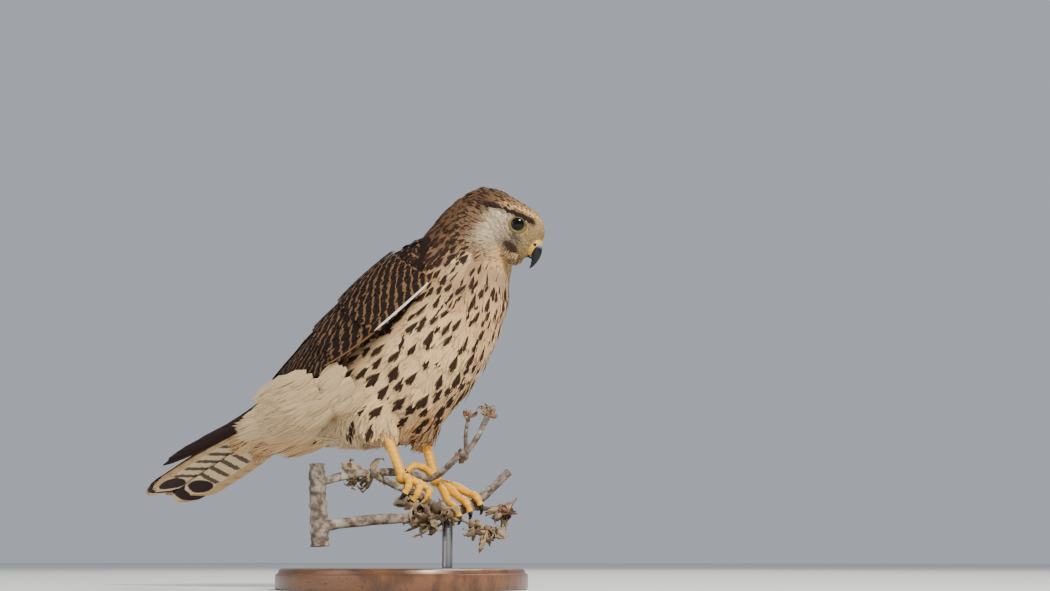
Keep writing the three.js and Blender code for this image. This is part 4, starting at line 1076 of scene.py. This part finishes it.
# Rows of the folded wing. Root and tip are shares of SADDLE and low and end the angles there, each for the
# first and the last feather. Lift is the height over the sheet at the row's start and end.
WING_ROWS = [
    dict(count=7, root=(0.26, 0.31), tip=(0.93, 0.69), low=(5, 20), end=(15, 36), half=5.5, tilt=0.45,
         lift=(-3.2, -2.6), look=PLAIN_DARK, stack=0.38, crowd=2.6),
    dict(count=9, root=(0.26, 0.3), tip=(0.5, 0.64), low=(1, 46), end=(15, 58), half=6.0, tilt=0.6,
         lift=(-1.0, 0.7), look=BARRED),
    dict(count=4, root=(0.28, 0.24), tip=(0.67, 0.56), low=(56, 76), end=(60, 80), half=6.8, tilt=0.5,
         lift=(-1.0, 1.9), look=BARRED),
    dict(count=10, root=(0.15, 0.2), tip=(0.38, 0.47), low=(-3, 56), end=(6, 62), half=5.4, tilt=0.6,
         lift=(-0.6, 2.6), look=COVERT),
    dict(count=9, root=(0.09, 0.13), tip=(0.27, 0.34), low=(-6, 60), end=(0, 66), half=5.6, tilt=0.6,
         lift=(0.0, 2.9), look=COVERT),
    dict(count=2, root=(0.1, 0.1), tip=(0.25, 0.25), low=(-13.5, -13.2), end=(-6.2, -6), half=0.8, tilt=0.2,
         lift=(0.6, 2.4), look=PALE_EDGE, round_from=0.5),
    dict(count=2, root=(0.22, 0.23), tip=(0.4, 0.41), low=(-8, -8), end=(4, 4), half=0.4, tilt=0.1,
         lift=(1.6, 2.6), look=BUFF_EDGE, round_from=0.9),
]


def wing_row(side, count, root, tip, low, end, half, tilt, lift, look, stack=0.0, round_from=0.8, crowd=1.0):
    """The feathers of one row of the wing, tilted like a roof's tiles and stacked where the row says so."""
    start, stop = min(root), max(tip)
    feathers = []
    for i in range(count):
        share = i / (count - 1)
        first, last = lerp(*root, share), lerp(*tip, share ** crowd) + rng.uniform(-0.008, 0.008)
        sway = rng.uniform(-0.8, 0.8)

        def point_at(s, p, above):
            at = lerp(first, last, s)
            girth = (along(SADDLE, "side", at) + along(SADDLE, "back", at)) / 2
            angle = DEGREE * (lerp(lerp(*low, share), lerp(*end, share), s) + sway * s)
            angle = angle + p * (half * tip_width(s, round_from)) / girth
            gone = (at - start) / (stop - start)
            height = lerp(*lift, gone) + stack * share * (count - 1) * gone
            height = height - tilt * p * np.minimum(1, 4 * (1 - s) + 0.2) + above
            return on_sheet(SADDLE, at, angle, height) * vec(1, side, 1)

        shade = rng.normal(1, 0.06)
        patch_up = (0.25 if side > 0 else 0.75) + rad(lerp(*low, share)) / math.tau * side
        feathers.append(dict(
            vane=big_vane(point_at), ground=look["ground"] * shade, mark=look["mark"] * shade,
            pattern=look["pattern"] * vec(1, rng.uniform(0.9, 1.1), 1), patch=(0.05 + 0.6 * first, patch_up),
        ))
    return feathers


def tail_material():
    """Tail feathers: bars on the inner web, a broad dark patch near the tip and a pale tip."""
    n = Nodes("tail")
    aside, down, _ = n.split(n.add("UVMap", uv_map="Vane"))
    outermost, flip, _ = n.split(n.attribute("Pattern", "Vector"))
    inner = (aside * 2.0 - 1.0) * flip
    across = n.math("ABSOLUTE", inner)
    wander = n.noise(420, 3)
    phase = (down + inner * inner * 0.035) * (9.2 * math.tau) + wander * 2.2
    reach = n.ramp(down, 0.83, 0.79) * n.ramp(inner, -0.15, 0.12)
    flecks = n.ramp(inner, -0.2, -0.5) * n.ramp(down, 0.84, 0.8) * 0.3
    bars = n.ramp(n.math("SINE", phase), 0.12, 0.5) * n.math("MAXIMUM", reach, flecks)
    length = (down - 0.875) / 0.085
    width = (inner - outermost * 0.42) / (1.7 - outermost * 1.15)
    patch = n.ramp(length * length + width * width + (wander - 0.5) * 0.4, 1.15, 0.85)
    base = n.mix(n.ramp(inner, 0.02, -0.12) * 0.75, n.attribute("Ground"), srgb(184, 146, 98))
    base = n.mix(n.ramp(across, 0.05, 0.02) * 0.6, base, srgb(226, 212, 184))
    color = n.mix(n.math("MAXIMUM", bars * 0.88, patch), base, n.attribute("Mark"))
    slanted = down * 90.0 - across * 9.0
    color = n.barbs(color, 1.5, across, slanted, 0.25, vec(0.3, 0.28, 0.26), vec(0.75, 0.73, 0.7))
    return n.finish(color, 0.62, Specular_IOR_Level=0.12)


def tail_feathers():
    last, droop = TAIL["pairs"] - 1, TAIL["droop"]
    down, level = vec(-math.cos(droop), 0, -math.sin(droop)), vec(-math.sin(droop), 0, math.cos(droop))
    left = vec(0, math.cos(TAIL["roll"]), 0) - level * math.sin(TAIL["roll"])
    up = np.cross(left, down)
    feathers = []
    for pair in range(TAIL["pairs"]):
        rank = pair / last
        for side, _ in SIDES:
            lowest = pair == last and side > 0
            length = lerp(*TAIL["length"], rank ** 1.6) * rng.uniform(0.985, 1.0)
            if pair == last:
                length = TAIL["short"][side < 0]
            edge = lerp(*TAIL["edge"], rank)
            middle, half = (edge + 0.35) / 2, (edge - 0.35) / 2
            if pair == 0:
                middle, half = TAIL["tops"]
            if lowest:
                middle, half = TAIL["under"]
            tier = pair + (pair > 0 or side > 0) + lowest

            def point_at(s, p, above):
                first = 0.72 + 0.28 * np.minimum(s / 0.5, 1)
                width = half * tip_width(s, 0.86, 0.72)
                aside = side * middle * first + width * (p + 0.42 * rank * side * (1 - p * p))
                camber = TAIL["camber"] * aside * aside + TAIL["fall"] * s * s + 0.5 * p * p
                rise = TAIL["rise"] - tier * TAIL["apart"] - camber + above
                reach = length * (s - 0.02 * p * p * s)
                return TAIL["root"] + down * reach[..., None] + up * rise[..., None] + left * aside[..., None]

            pale = mix(smooth(0.05, 0.5, rank), srgb(150, 112, 78), srgb(206, 184, 148))
            feathers.append(dict(
                vane=big_vane(point_at, 0.5), ground=pale * rng.normal(1, 0.03), mark=srgb(46, 30, 27),
                pattern=vec(rank ** 4, -side, 0), patch=(0.03 + 0.012 * pair, 0.5 + 0.1 * side),
            ))
    return feathers


# Head: eyes, bare rings, cere and bill
def color_material(name, roughness, bump_scale, bump_depth, mottle=0.25, **sockets):
    """A surface coloured by its own Ground attribute, mottled, with fine relief."""
    n = Nodes(name)
    grain = n.noise(bump_scale, 4)
    mottled = n.mix(grain, vec(0.22, 0.2, 0.18), vec(0.8, 0.78, 0.75))
    n.bump(grain, bump_depth * MM, 0.6)
    return n.finish(n.mix(mottle, n.attribute("Ground"), mottled, "OVERLAY"), roughness, **sockets)


def eye_material():
    n = Nodes("eye")
    return n.finish(n.attribute("Ground"), 0.06, Specular_IOR_Level=0.22)


def ball(rings, sides, margin):
    """Rings of a unit ball, from close to its top to close to its bottom."""
    t, a = grid(np.linspace(margin, math.pi - margin, rings), all_round(sides))
    return xyz(np.sin(t) * np.cos(a), np.sin(t) * np.sin(a), np.cos(t))


def make_eye(side, name):
    """The eyeball, with a dark brown iris and a black pupil."""
    centre, out = eye_frame(side)
    turned = Vector((0, 0, 1)).rotation_difference(Vector(out)).to_matrix()
    points, faces = loft(ball(36, 48, 0.001) * EYE["radius"] @ np.array(turned).T + centre)
    away = np.degrees(np.arccos(np.clip(unit(points - centre) @ out, -1, 1)))
    ground = mix(smooth(24, 28, away), srgb(4, 4, 4), srgb(22, 13, 9))
    ground = mix(smooth(44, 52, away), ground, srgb(14, 11, 10))
    return paint(mesh_object(f"eyeball_{name}", points, faces), ground)


def make_eye_ring(side, name):
    """The bare skin round the eye: a wrinkled lid rim, widest below and in front."""
    centre, out = eye_frame(side)
    right = across_only(HEAD_TURN @ vec(1, 0, 0), out)
    up = np.cross(out, right) * side
    up = up * np.sign((HEAD_TURN @ vec(0, 0, 1)) @ up)
    a, b = grid(all_round(72), all_round(14))
    wide = 0.5 + 0.55 * smooth(0.5, -0.9, np.sin(a)) + 0.5 * smooth(0.3, 1.0, np.cos(a))
    wrinkle = 1 + 0.07 * np.sin(a * 26) * smooth(-0.2, 0.6, np.sin(b))
    ring = EYE["lid"] * (1 + 0.02 * np.cos(2 * a)) + wide * np.cos(b)
    height = math.sqrt(EYE["radius"] ** 2 - EYE["lid"] ** 2) + (0.25 + 0.75 * np.sin(b) * wrinkle)
    height = height - 0.5 * np.maximum(np.cos(b), 0) * wide
    points = centre + (ring * np.cos(a))[..., None] * right + (ring * np.sin(a))[..., None] * up
    points = points + height[..., None] * out
    n, m = points.shape[:2]
    i, j = grid(np.arange(n), np.arange(m))
    next_i, next_j = (i + 1) % n, (j + 1) % m
    quads = np.stack([i * m + j, next_i * m + j, next_i * m + next_j, i * m + next_j], -1)
    made = mesh_object(f"eye_ring_{name}", points.reshape(-1, 3), quads.reshape(-1, 4))
    ground = mix(smooth(-0.35, -0.85, np.cos(b)), srgb(104, 90, 28), srgb(24, 20, 14))
    # painted shade from the brow: the upper part of the ring is darker olive
    ground = mix(0.75 * smooth(0.1, 0.8, np.sin(a)), ground, srgb(44, 36, 20))
    return paint(made, ground.reshape(-1, 3))


def make_bill():
    """The upper bill with its tooth, pale blue-grey at the cere and black at the hook."""
    angle, rings = all_round(32), []
    for share in np.linspace(0, 1, 34):
        x, z, turn, deep, half = (along(BILL, key, share) for key in BILL)
        outwards = deep * np.sin(angle)
        wide = half * np.cos(angle) * (1 - 0.12 * np.maximum(np.sin(angle), 0) ** 2)
        rings.append(in_head(xyz(x + outwards * math.sin(turn), wide, z + outwards * math.cos(turn))))
    parts = [loft(rings)]
    for side, _ in SIDES:
        top = vec(TOOTH["x"], side * TOOTH["out"], TOOTH["z"])
        ends = in_head([top, top - vec(TOOTH["back"], 0, TOOTH["length"])])
        parts.append(loft(tube(ends, lambda s, a: lerp(TOOTH["radius"], TOOTH["tip"], s), 14, 8)))
    points, faces = merged(parts)
    h = to_head(points)
    dark = smooth(4.2, 1.2, h[:, 2] - 0.4 * (h[:, 0] - 25))
    ground = mix(dark, srgb(128, 142, 158), srgb(16, 16, 19))
    return paint(mesh_object("bill_upper_horn", points, faces), ground)


def make_lower_bill():
    angle, rings = all_round(28), []
    for share in np.linspace(0, 1, 16):
        half = MANDIBLE["half"] * (1 - 0.75 * share ** 1.6)
        deep = MANDIBLE["depth"] * (1 - 0.6 * share)
        high = deep * np.sin(angle) * np.where(np.sin(angle) > 0, MANDIBLE["above"], 1)
        x = MANDIBLE["x"] + MANDIBLE["length"] * share
        rings.append(in_head(xyz(x, half * np.cos(angle), MANDIBLE["z"] + MANDIBLE["rise"] * share + high)))
    points, faces = loft(rings)
    ground = mix(smooth(15, 19, to_head(points)[:, 0]), srgb(186, 150, 70), srgb(30, 29, 32))
    return paint(mesh_object("bill_lower_horn", points, faces), ground)


def make_cere():
    """The waxy yellow skin over the bill's root, with round nostrils."""
    angle, rings = all_round(64), []
    high, deep = (CERE["top"] + CERE["low"]) / 2, (CERE["top"] - CERE["low"]) / 2
    for share in np.linspace(0, 1, 30):
        bulge = 1 + 0.16 * math.sin(math.pi * share) - 0.1 * share
        x = CERE["x"] + CERE["length"] * share + 0.5 * np.maximum(np.sin(angle), 0)
        z = high - 0.8 * share + deep * bulge * np.sin(angle)
        ring = xyz(x, CERE["half"] * bulge * np.cos(angle), z)
        away = np.linalg.norm((ring - NOSTRIL) * vec(1, 0, 1), axis=1)
        pit = smooth(1.15, 0.5, away)[:, None]
        rim = (near(away, 1.35, 0.35) * 0.18)[:, None]
        sideways = vec(0, 1, 0) * np.sign(np.cos(angle))[:, None]
        rings.append(in_head(ring - sideways * (1.5 * pit - rim)))
    points, faces = loft(rings)
    h = to_head(points)
    away = np.hypot(h[:, 0] - NOSTRIL[0], h[:, 2] - NOSTRIL[2])
    # painted shade in the recesses: dark brown in and round the nostril pits
    ground = mix(smooth(1.0, 0.55, away), srgb(196, 152, 58), srgb(30, 20, 12))
    return paint(mesh_object("cere_skin", points, faces), ground)


# Legs: where each foot stands, where its toes grip the twig, the twig's line there and its radius
LEGS = dict(
    right=dict(foot=vec(13, -17, 61.8), grip=vec(19, -15, 54), line=vec(0.45, 0.8, -0.4), twig=2.5),
    left=dict(foot=vec(11.3, 17, 61.6), grip=vec(35.5, 13, 46), line=vec(0.43, 0.82, 0.37), twig=2.7),
)
# Each toe: how far along the twig it grips and the angles round it of its arc's ends, or else its path
TOES = dict(
    right=[dict(shift=7, start=70, end=-40), dict(shift=0.5, start=60, end=-52),
           dict(shift=-6, start=70, end=-36), dict(shift=-1.5, start=150, end=215)],
    left=[dict(shift=-8.5, start=100, end=-20), dict(shift=-1, start=96, end=-20),
          dict(shift=6.5, start=100, end=-10),
          dict(path=[(11.3, 17, 61.6), (10.4, 12, 66.2), (8.6, 6, 69.6), (7, 0, 70), (5.8, -4.9, 66.6)])],
)
TARSUS = dict(radius=2.75, scutes=14)
TOE = dict(radius=2.5, tip=1.8, joints=4, seat=0.3, arch=1.2)
CLAW = dict(length=10, radius=1.5, curl=100)
YELLOW = srgb(222, 160, 32)


def toe_path(leg, toe):
    if "path" in toe:
        return toe["path"]
    line = unit(leg["line"])
    ahead = unit(vec(line[1], -line[0], 0))
    over = np.cross(ahead, line)
    over = over * np.sign(over[2])
    distance = leg["twig"] + TOE["radius"] + TOE["seat"]
    arc = [leg["grip"] + line * toe["shift"] + distance * (ahead * math.cos(a) + over * math.sin(a))
           for a in DEGREE * np.linspace(toe["start"], toe["end"], 4)]
    return [leg["foot"], (leg["foot"] + arc[0]) / 2 + vec(0, 0, TOE["arch"]), *arc]


def scaly_tube(points, radius, sides, steps, scutes, front, depth):
    """A tube with overlapping plates down the side that faces front, and small round scales behind."""

    def shape(share, angle):
        face = smooth(0.1, 0.7, np.cos(angle))
        rows = np.sin(share * scutes * 3 * math.tau + 3 * np.cos(3 * angle))
        small = 0.3 * depth * rows * np.cos(7 * angle)
        step = depth * (1.2 * ((share * scutes) % 1) ** 3 - 0.3) * face
        return radius(share) + step + small * (1 - face)

    return loft(tube(points, shape, sides, steps, unit(vec(*front))))


def make_foot(name):
    """One bare leg: the tarsus, the pad and four scaly toes, all one skin."""
    leg, heel = LEGS[name], HEELS[name]
    down = leg["foot"] - heel
    top, low = heel - down * 0.12, heel + down * 0.93
    shank = lambda s: TARSUS["radius"] * (1 + 0.14 * smooth(0.78, 0.95, s))
    knuckle = lambda s: lerp(TOE["radius"], TOE["tip"], s) + 0.22 * math.cos(math.tau * TOE["joints"] * s)
    path = [top, lerp(top, low, 0.5), low, leg["foot"]]
    parts = [scaly_tube(path, shank, 28, 132, TARSUS["scutes"], (1, 0, 0.3), 0.24)]
    for toe in TOES[name]:
        parts.append(scaly_tube(toe_path(leg, toe), knuckle, 22, 110, 15, (0.3, 0.2, 1), 0.22))
    parts.append(loft(ball(18, 24, 0.01) * vec(1.15, 1.05, 0.85) * 3.7 + leg["foot"]))
    points, faces = merged(parts)
    tone = 1 + 0.08 * np.sin(points[:, 2:3] * 2.1) + rng.normal(0, 0.02, (len(points), 1))
    return paint(mesh_object(f"bare_leg_{name}", points, faces, 60), np.clip(YELLOW * tone, 0, 1))


def make_claw(name, number, toe):
    path = curve_points(toe_path(LEGS[name], toe), 60)
    tangent = unit(path[-1] - path[-3])
    inward = across_only(tangent - unit(path[-12] - path[-14]), tangent)
    radius = CLAW["length"] / rad(CLAW["curl"])
    turns = DEGREE * np.linspace(0, CLAW["curl"], 12)
    start = path[-1] - tangent * 0.6
    curl = [start + radius * (tangent * math.sin(t) + inward * (1 - math.cos(t))) for t in turns]
    points, faces = loft(tube(curl, lambda s, a: CLAW["radius"] * (1 - s) ** 0.8 + 0.12, 16, 24, inward))
    share = np.linalg.norm(points - start, axis=1) / CLAW["length"]
    ground = mix(smooth(0.0, 0.2, share), srgb(70, 62, 54), srgb(20, 18, 18))
    return paint(mesh_object(f"talon_{name}_{number}", points, faces), ground)


# Perch: each stem's points, its radii at both ends and the seed of its knots
STEMS = dict(
    trunk=dict(points=[(-10, -60, 24), (-11, -60, 38), (-12.3, -60, 54), (-13.4, -60, 69)],
               radii=(5, 4.3), seed=1.3),
    main=dict(points=[(-9, -60, 35), (10.8, -35, 38.8), (23.5, -12, 40), (30.5, 2, 42.4), (35.5, 13, 46),
                      (42.1, 22, 53.5), (51.9, 32, 66.8)], radii=(3, 2.3), seed=2.1),
    upper=dict(points=[(-11, -60, 58.6), (-4, -48, 62.7), (2, -32, 64.9), (1.5, -10, 66), (8.4, -1, 64.8),
                       (15.4, 4, 62.7), (22, 6.5, 66), (31.6, 8, 73.8), (39.3, 9, 78.7), (44.9, 10, 85.4),
                       (51.8, 12, 99)], radii=(2.3, 1.5), seed=4),
    cross=dict(points=[(3.5, -34, 64.8), (13.5, -24, 57.6), (19, -15, 54), (25, -6, 48), (31, 3, 42.8)],
               radii=(1.8, 2.5), seed=5),
    shoot=dict(points=[(38.5, 8.6, 78.4), (40, 6, 88), (42, 6, 97)], radii=(1.3, 0.9), seed=6),
    tip_one=dict(points=[(31, 3, 42.6), (38, 12, 38), (47, 19, 33), (51, 20, 29)], radii=(1.6, 1), seed=7),
    tip_two=dict(points=[(35.5, 13, 46), (43, 20, 45.6), (51, 26, 46)], radii=(1.5, 1), seed=8),
)
# Leaf clusters: where each starts, the way it hangs, and its leaves' number, greatest length and half width
CLUSTERS = [
    ((-1, -39, 65), (-0.7, -0.3, -0.3), 12, 15, 5.0),
    ((3, -34, 64), (0.3, 0.2, -1), 12, 14, 4.6),
    ((26, -8, 43), (0.0, -0.3, -1), 24, 21, 5.6),
    ((20, -15, 48), (-0.2, -0.5, -0.6), 14, 14, 5.0),
    ((33, 0, 42), (0.3, -0.4, -0.7), 8, 12, 4.2),
    ((46.5, 18.6, 33.4), (0.15, 0.1, -1), 20, 16, 5.0),
    ((41, 13, 36.5), (0.1, -0.2, -1), 9, 11, 3.8),
    ((50.4, 25.6, 46), (0.4, 0.2, -0.8), 17, 15, 4.8),
    ((51.6, 12, 98.4), (0.2, 0.1, 0.8), 6, 9, 3.0),
    ((41.9, 6, 96.6), (-0.2, 0, 0.8), 5, 8, 2.6),
    ((34, 9, 74), (-0.2, 0.6, 0.3), 4, 8, 2.6),
]


def make_stems():
    parts, shades = [], []
    for stem in STEMS.values():
        steps = len(stem["points"]) * 16
        seed, radii = stem["seed"], stem["radii"]
        rough = np.random.default_rng(int(seed * 10)).normal(0, 1, (steps + 1, 24))
        rough = (rough + np.roll(rough, 1, 0) + np.roll(rough, 1, 1) + np.roll(rough, 1, (0, 1))) / 4

        def radius(share, angle):
            knots = 0.22 * math.sin(share * 37 + seed) + 0.16 * np.sin(share * 61 + 2 * angle + seed)
            knots = knots + 0.12 * np.sin(3 * angle + 5 * share)
            size = lerp(*radii, share)
            return size + knots * radii[0] / 4 + 0.05 * size * rough[int(round(share * steps))]

        parts.append(loft(tube(stem["points"], radius, 24, steps, (0.3, 0.1, 1))))
        shades.append(np.full(len(parts[-1][0]), 0.8 if radii[0] < 2 else 1.0))
    made = mesh_object("twig_bark", *merged(parts), 60)
    return paint(made, srgb(142, 130, 118) * np.concatenate(shades)[:, None])


def bark_material():
    n = Nodes("bark")
    place = n.place()
    stretched, fine = n.noise(260, 5, place), n.noise(1500, 4, place)
    spots = n.add("TexVoronoi", {"Scale": 330.0, "Vector": place}, "Distance", feature="F1")
    color = n.mix(n.ramp(stretched, 0.35, 0.65), srgb(84, 72, 62), n.attribute("Ground"))
    color = n.mix(n.ramp(n.noise(120, 3, place), 0.56, 0.66) * 0.55, color, srgb(176, 172, 156))
    color = n.mix(n.ramp(spots, 0.16, 0.1), color, srgb(64, 50, 42))
    n.bump(stretched * 0.7 + fine * 0.3, 0.0009, 0.9)
    return n.finish(color, 0.88, Specular_IOR_Level=0.2)


def leaf_loft(root, way, length, half, draw):
    """One dry leaf: a lobed blade that curls along and across its length."""
    side = across_only(unit(draw.normal(0, 1, 3)), way)
    face = np.cross(way, side)
    curl, cup, twist = draw.uniform(0.9, 3.0), draw.uniform(0.9, 2.4), draw.uniform(-1.3, 1.3)
    s, p = grid(np.linspace(0, 1, 15), np.linspace(-1, 1, 9))
    lobes = 1 - 0.14 * np.cos(s * 4.5 * math.tau)
    wide = half * np.sin(np.clip(s, 0.03, 0.99) ** 0.8 * math.pi) ** 0.7 * lobes
    spin = twist * s + p * 0.2
    out = side * np.cos(spin)[..., None] + face * np.sin(spin)[..., None]
    away = np.cross(way, out)
    bend, across = curl * s, cup * p
    ripple = 0.5 * np.sin(9 * s + 4 * p + draw.uniform(0, 6)) * half * 0.12
    rise = (1 - np.cos(bend)) / curl * length + wide * (1 - np.cos(across)) / cup + ripple
    spot = (way * (np.sin(bend) / curl * length)[..., None] + away * rise[..., None]
            + out * (wide * np.sin(across) / cup)[..., None])
    thin = away * 0.13
    return loft(np.concatenate([spot + thin, (spot - thin)[:, ::-1]], 1) + root)


def make_leaves():
    draw = np.random.default_rng(5)
    parts, tones = [], []
    for at, way, count, length, half in CLUSTERS:
        for _ in range(count):
            loose = unit(unit(unit(vec(*way)) + draw.normal(0, 0.62, 3)))
            root = at + draw.normal(0, 0.7, 3)
            size = length * draw.uniform(0.55, 1), half * draw.uniform(0.7, 1)
            parts.append(leaf_loft(root, loose, *size, draw))
            tones.append(np.full(len(parts[-1][0]), draw.uniform(0, 1)))
    made = mesh_object("dry_leaves", *merged(parts), 70)
    return paint(made, mix(np.concatenate(tones), srgb(100, 80, 58), srgb(158, 138, 110)))


def bud_width(share, angle):
    swell = math.sin(math.pi * min(1, share * 0.9 + 0.08)) ** 0.8
    return 0.25 + 1.15 * swell * (1 + 0.1 * np.cos(3 * angle + 9 * share))


def make_buds():
    """Reddish scaly buds at the ends of the twigs and among the leaves, four to a cluster."""
    draw = np.random.default_rng(8)
    parts = []
    for at, way, *_ in CLUSTERS:
        for _ in range(4):
            start = at + draw.normal(0, 1.2, 3)
            end = start + unit(unit(vec(*way)) + draw.normal(0, 0.7, 3)) * draw.uniform(3, 4.6)
            parts.append(loft(tube([start, (start + end) / 2, end], bud_width, 12, 12)))
    return paint(mesh_object("twig_buds", *merged(parts)), srgb(120, 84, 62))


# Stand: outlines of radii and heights
BASE = [(0.01, 0), (71, 0), (71.7, 0.4), (72, 1.2), (72, 8.2), (71.4, 8.9), (70.4, 9.3), (70.2, 10.1),
        (69.8, 11.2), (68.8, 11.85), (67.4, 12), (40, 12), (0.01, 12)]
ROD = [(2.6, 0), (3, 0.4), (3, 1), (3, 14), (3, 28), (2.6, 28.55)]
ROD_AT = (30.5, 2, 12.35)


def turned(name, outline, sides, smooth_angle, at=(0, 0, 0)):
    """An outline turned about an upright axis."""
    angle = all_round(sides)
    points, faces = loft([xyz(r * np.cos(angle), r * np.sin(angle), z) + at for r, z in outline])
    return mesh_object(name, points, faces[:, ::-1], smooth_angle)


def wood_material():
    n = Nodes("base wood")
    grain = n.noise(1.0, 5, n.scaled(14.0, 150.0, 60.0), 0.6)
    pores = n.noise(3.2, 2, n.scaled(30.0, 900.0, 400.0))
    color = n.mix(n.ramp(grain, 0.3, 0.7), srgb(70, 42, 26), srgb(118, 76, 46))
    color = n.mix(n.ramp(pores, 0.6, 0.68), color, srgb(44, 26, 17))
    n.bump(pores, 0.0001, 0.2)
    return n.finish(color, 0.32, Coat_Weight=0.25, Coat_Roughness=0.2)


def metal_material():
    n = Nodes("rod metal")
    brushed = n.noise(1.0, 3, n.scaled(300.0, 300.0, 6000.0))
    n.bump(brushed, 0.00005, 0.3)
    return n.finish(n.mix(brushed, srgb(120, 120, 122), srgb(164, 164, 166)), 0.34, Metallic=1.0)


# Build everything
plumage = plumage_material()
skin, outside, normal, sunken = make_skin()
look = coat(outside)
look["wing_at"], look["wing"] = wing_cover(look)
paint(skin, mix(look["wing"], look["ground"] * 0.8, WING_DARK))
flesh = ("torso", "neck", "head", "thigh_left", "thigh_right")
finish_piece(skin, "plumage_pale", *flesh, material=skin_material())
make_coat(skin, outside, normal, sunken, look, plumage)
make_long_plumes(plumage)
make_beard(plumage)

for side, name in SIDES:
    feathers = [feather for row in WING_ROWS for feather in wing_row(side, **row)]
    feather_piece(f"flight_feathers_{name}", feathers, plumage, "plumage_brown", f"wing_{name}")
feather_piece("tail_feathers", tail_feathers(), tail_material(), "plumage_tail", "tail")

eye_look = eye_material()
ring_look = color_material("eye ring", 0.45, 2600, 0.12)
for side, name in SIDES:
    finish_piece(make_eye(side, name), "eye", f"eye_{name}", material=eye_look)
    finish_piece(make_eye_ring(side, name), "cere", material=ring_look)
horn = color_material("horn", 0.3, 900, 0.04, 0.15, Specular_IOR_Level=0.3)
finish_piece(make_bill(), "bill", "bill_upper", material=horn)
finish_piece(make_lower_bill(), "bill", "bill_lower", material=horn)
finish_piece(make_cere(), "cere", "cere", material=color_material("cere", 0.42, 1800, 0.08))
scaly = color_material("scaly skin", 0.48, 2200, 0.09, 0.35)
talon = color_material("talon", 0.22, 700, 0.03, 0.15, Coat_Weight=0.4, Coat_Roughness=0.12)
for name in LEGS:
    finish_piece(make_foot(name), "foot", f"leg_{name}", f"foot_{name}", material=scaly)
    for number, toe in enumerate(TOES[name], 1):
        finish_piece(make_claw(name, number, toe), "claw", f"claw_{name}_{number}", material=talon)

finish_piece(make_stems(), "bark", "perch", material=bark_material())
finish_piece(make_leaves(), "bark", material=color_material("dry leaf", 0.85, 700, 0.25, 0.4))
finish_piece(make_buds(), "bark", material=color_material("bud", 0.7, 1500, 0.2, 0.4))
finish_piece(turned("base_wood", BASE, 160, 30), "base", "stand_base", material=wood_material())
finish_piece(turned("rod_metal", ROD, 48, 40, ROD_AT), "rod", "stand_rod", material=metal_material())

# Floor, light and camera
floor_mesh = bpy.data.meshes.new("floor")
floor_mesh.from_pydata([(-6, -6, 0), (6, -6, 0), (6, 6, 0), (-6, 6, 0)], [], [(0, 1, 2, 3)])
floor = bpy.data.objects.new("floor", floor_mesh)
bpy.context.scene.collection.objects.link(floor)
floor_mesh.materials.append(Nodes("floor").finish(srgb(226, 226, 224), 0.8))

world = bpy.data.worlds.new("studio")
world.use_nodes = True
sky = world.node_tree.nodes["Background"]
sky.inputs[0].default_value = (*srgb(214, 222, 232), 1.0)
sky.inputs[1].default_value = 0.6
bpy.context.scene.world = world


def aimed(data, place, way):
    """The object of a light or a camera, at a place and looking along a direction."""
    made = bpy.data.objects.new(data.name, data)
    made.location = place
    made.rotation_mode = "QUATERNION"
    made.rotation_quaternion = Vector(way).to_track_quat("-Z", "Y")
    bpy.context.scene.collection.objects.link(made)
    return made


def area_light(name, place, size, power, color, target=(-0.02, 0, 0.13)):
    """A round light, in metres and watts, aimed at the middle of the bird."""
    data = bpy.data.lights.new(name, "AREA")
    data.shape, data.size, data.energy, data.color = "DISK", size, power, color
    aimed(data, place, Vector(target) - Vector(place))


area_light("key", (1.25, -0.55, 1.15), 0.35, 46, (1.0, 0.94, 0.84))
area_light("fill", (-0.6, -1.6, 0.5), 1.2, 9, (0.9, 0.95, 1.0))
area_light("rim", (-0.5, 1.2, 1.3), 0.7, 12, (1.0, 0.98, 0.95))

# Width is the photograph's, and focal the focal length, both in its pixels
CAMERA = dict(place=vec(571, -721, 16.8), turn=rad(34), rise=rad(9.5), width=1050, focal=1579, sensor=36)
lens = bpy.data.cameras.new("camera")
lens.sensor_width = CAMERA["sensor"]
lens.lens = CAMERA["sensor"] * CAMERA["focal"] / CAMERA["width"]
lens.clip_start = 0.01
level = math.cos(CAMERA["rise"])
way = (-math.sin(CAMERA["turn"]) * level, math.cos(CAMERA["turn"]) * level, math.sin(CAMERA["rise"]))
bpy.context.scene.camera = aimed(lens, CAMERA["place"] * MM, way)
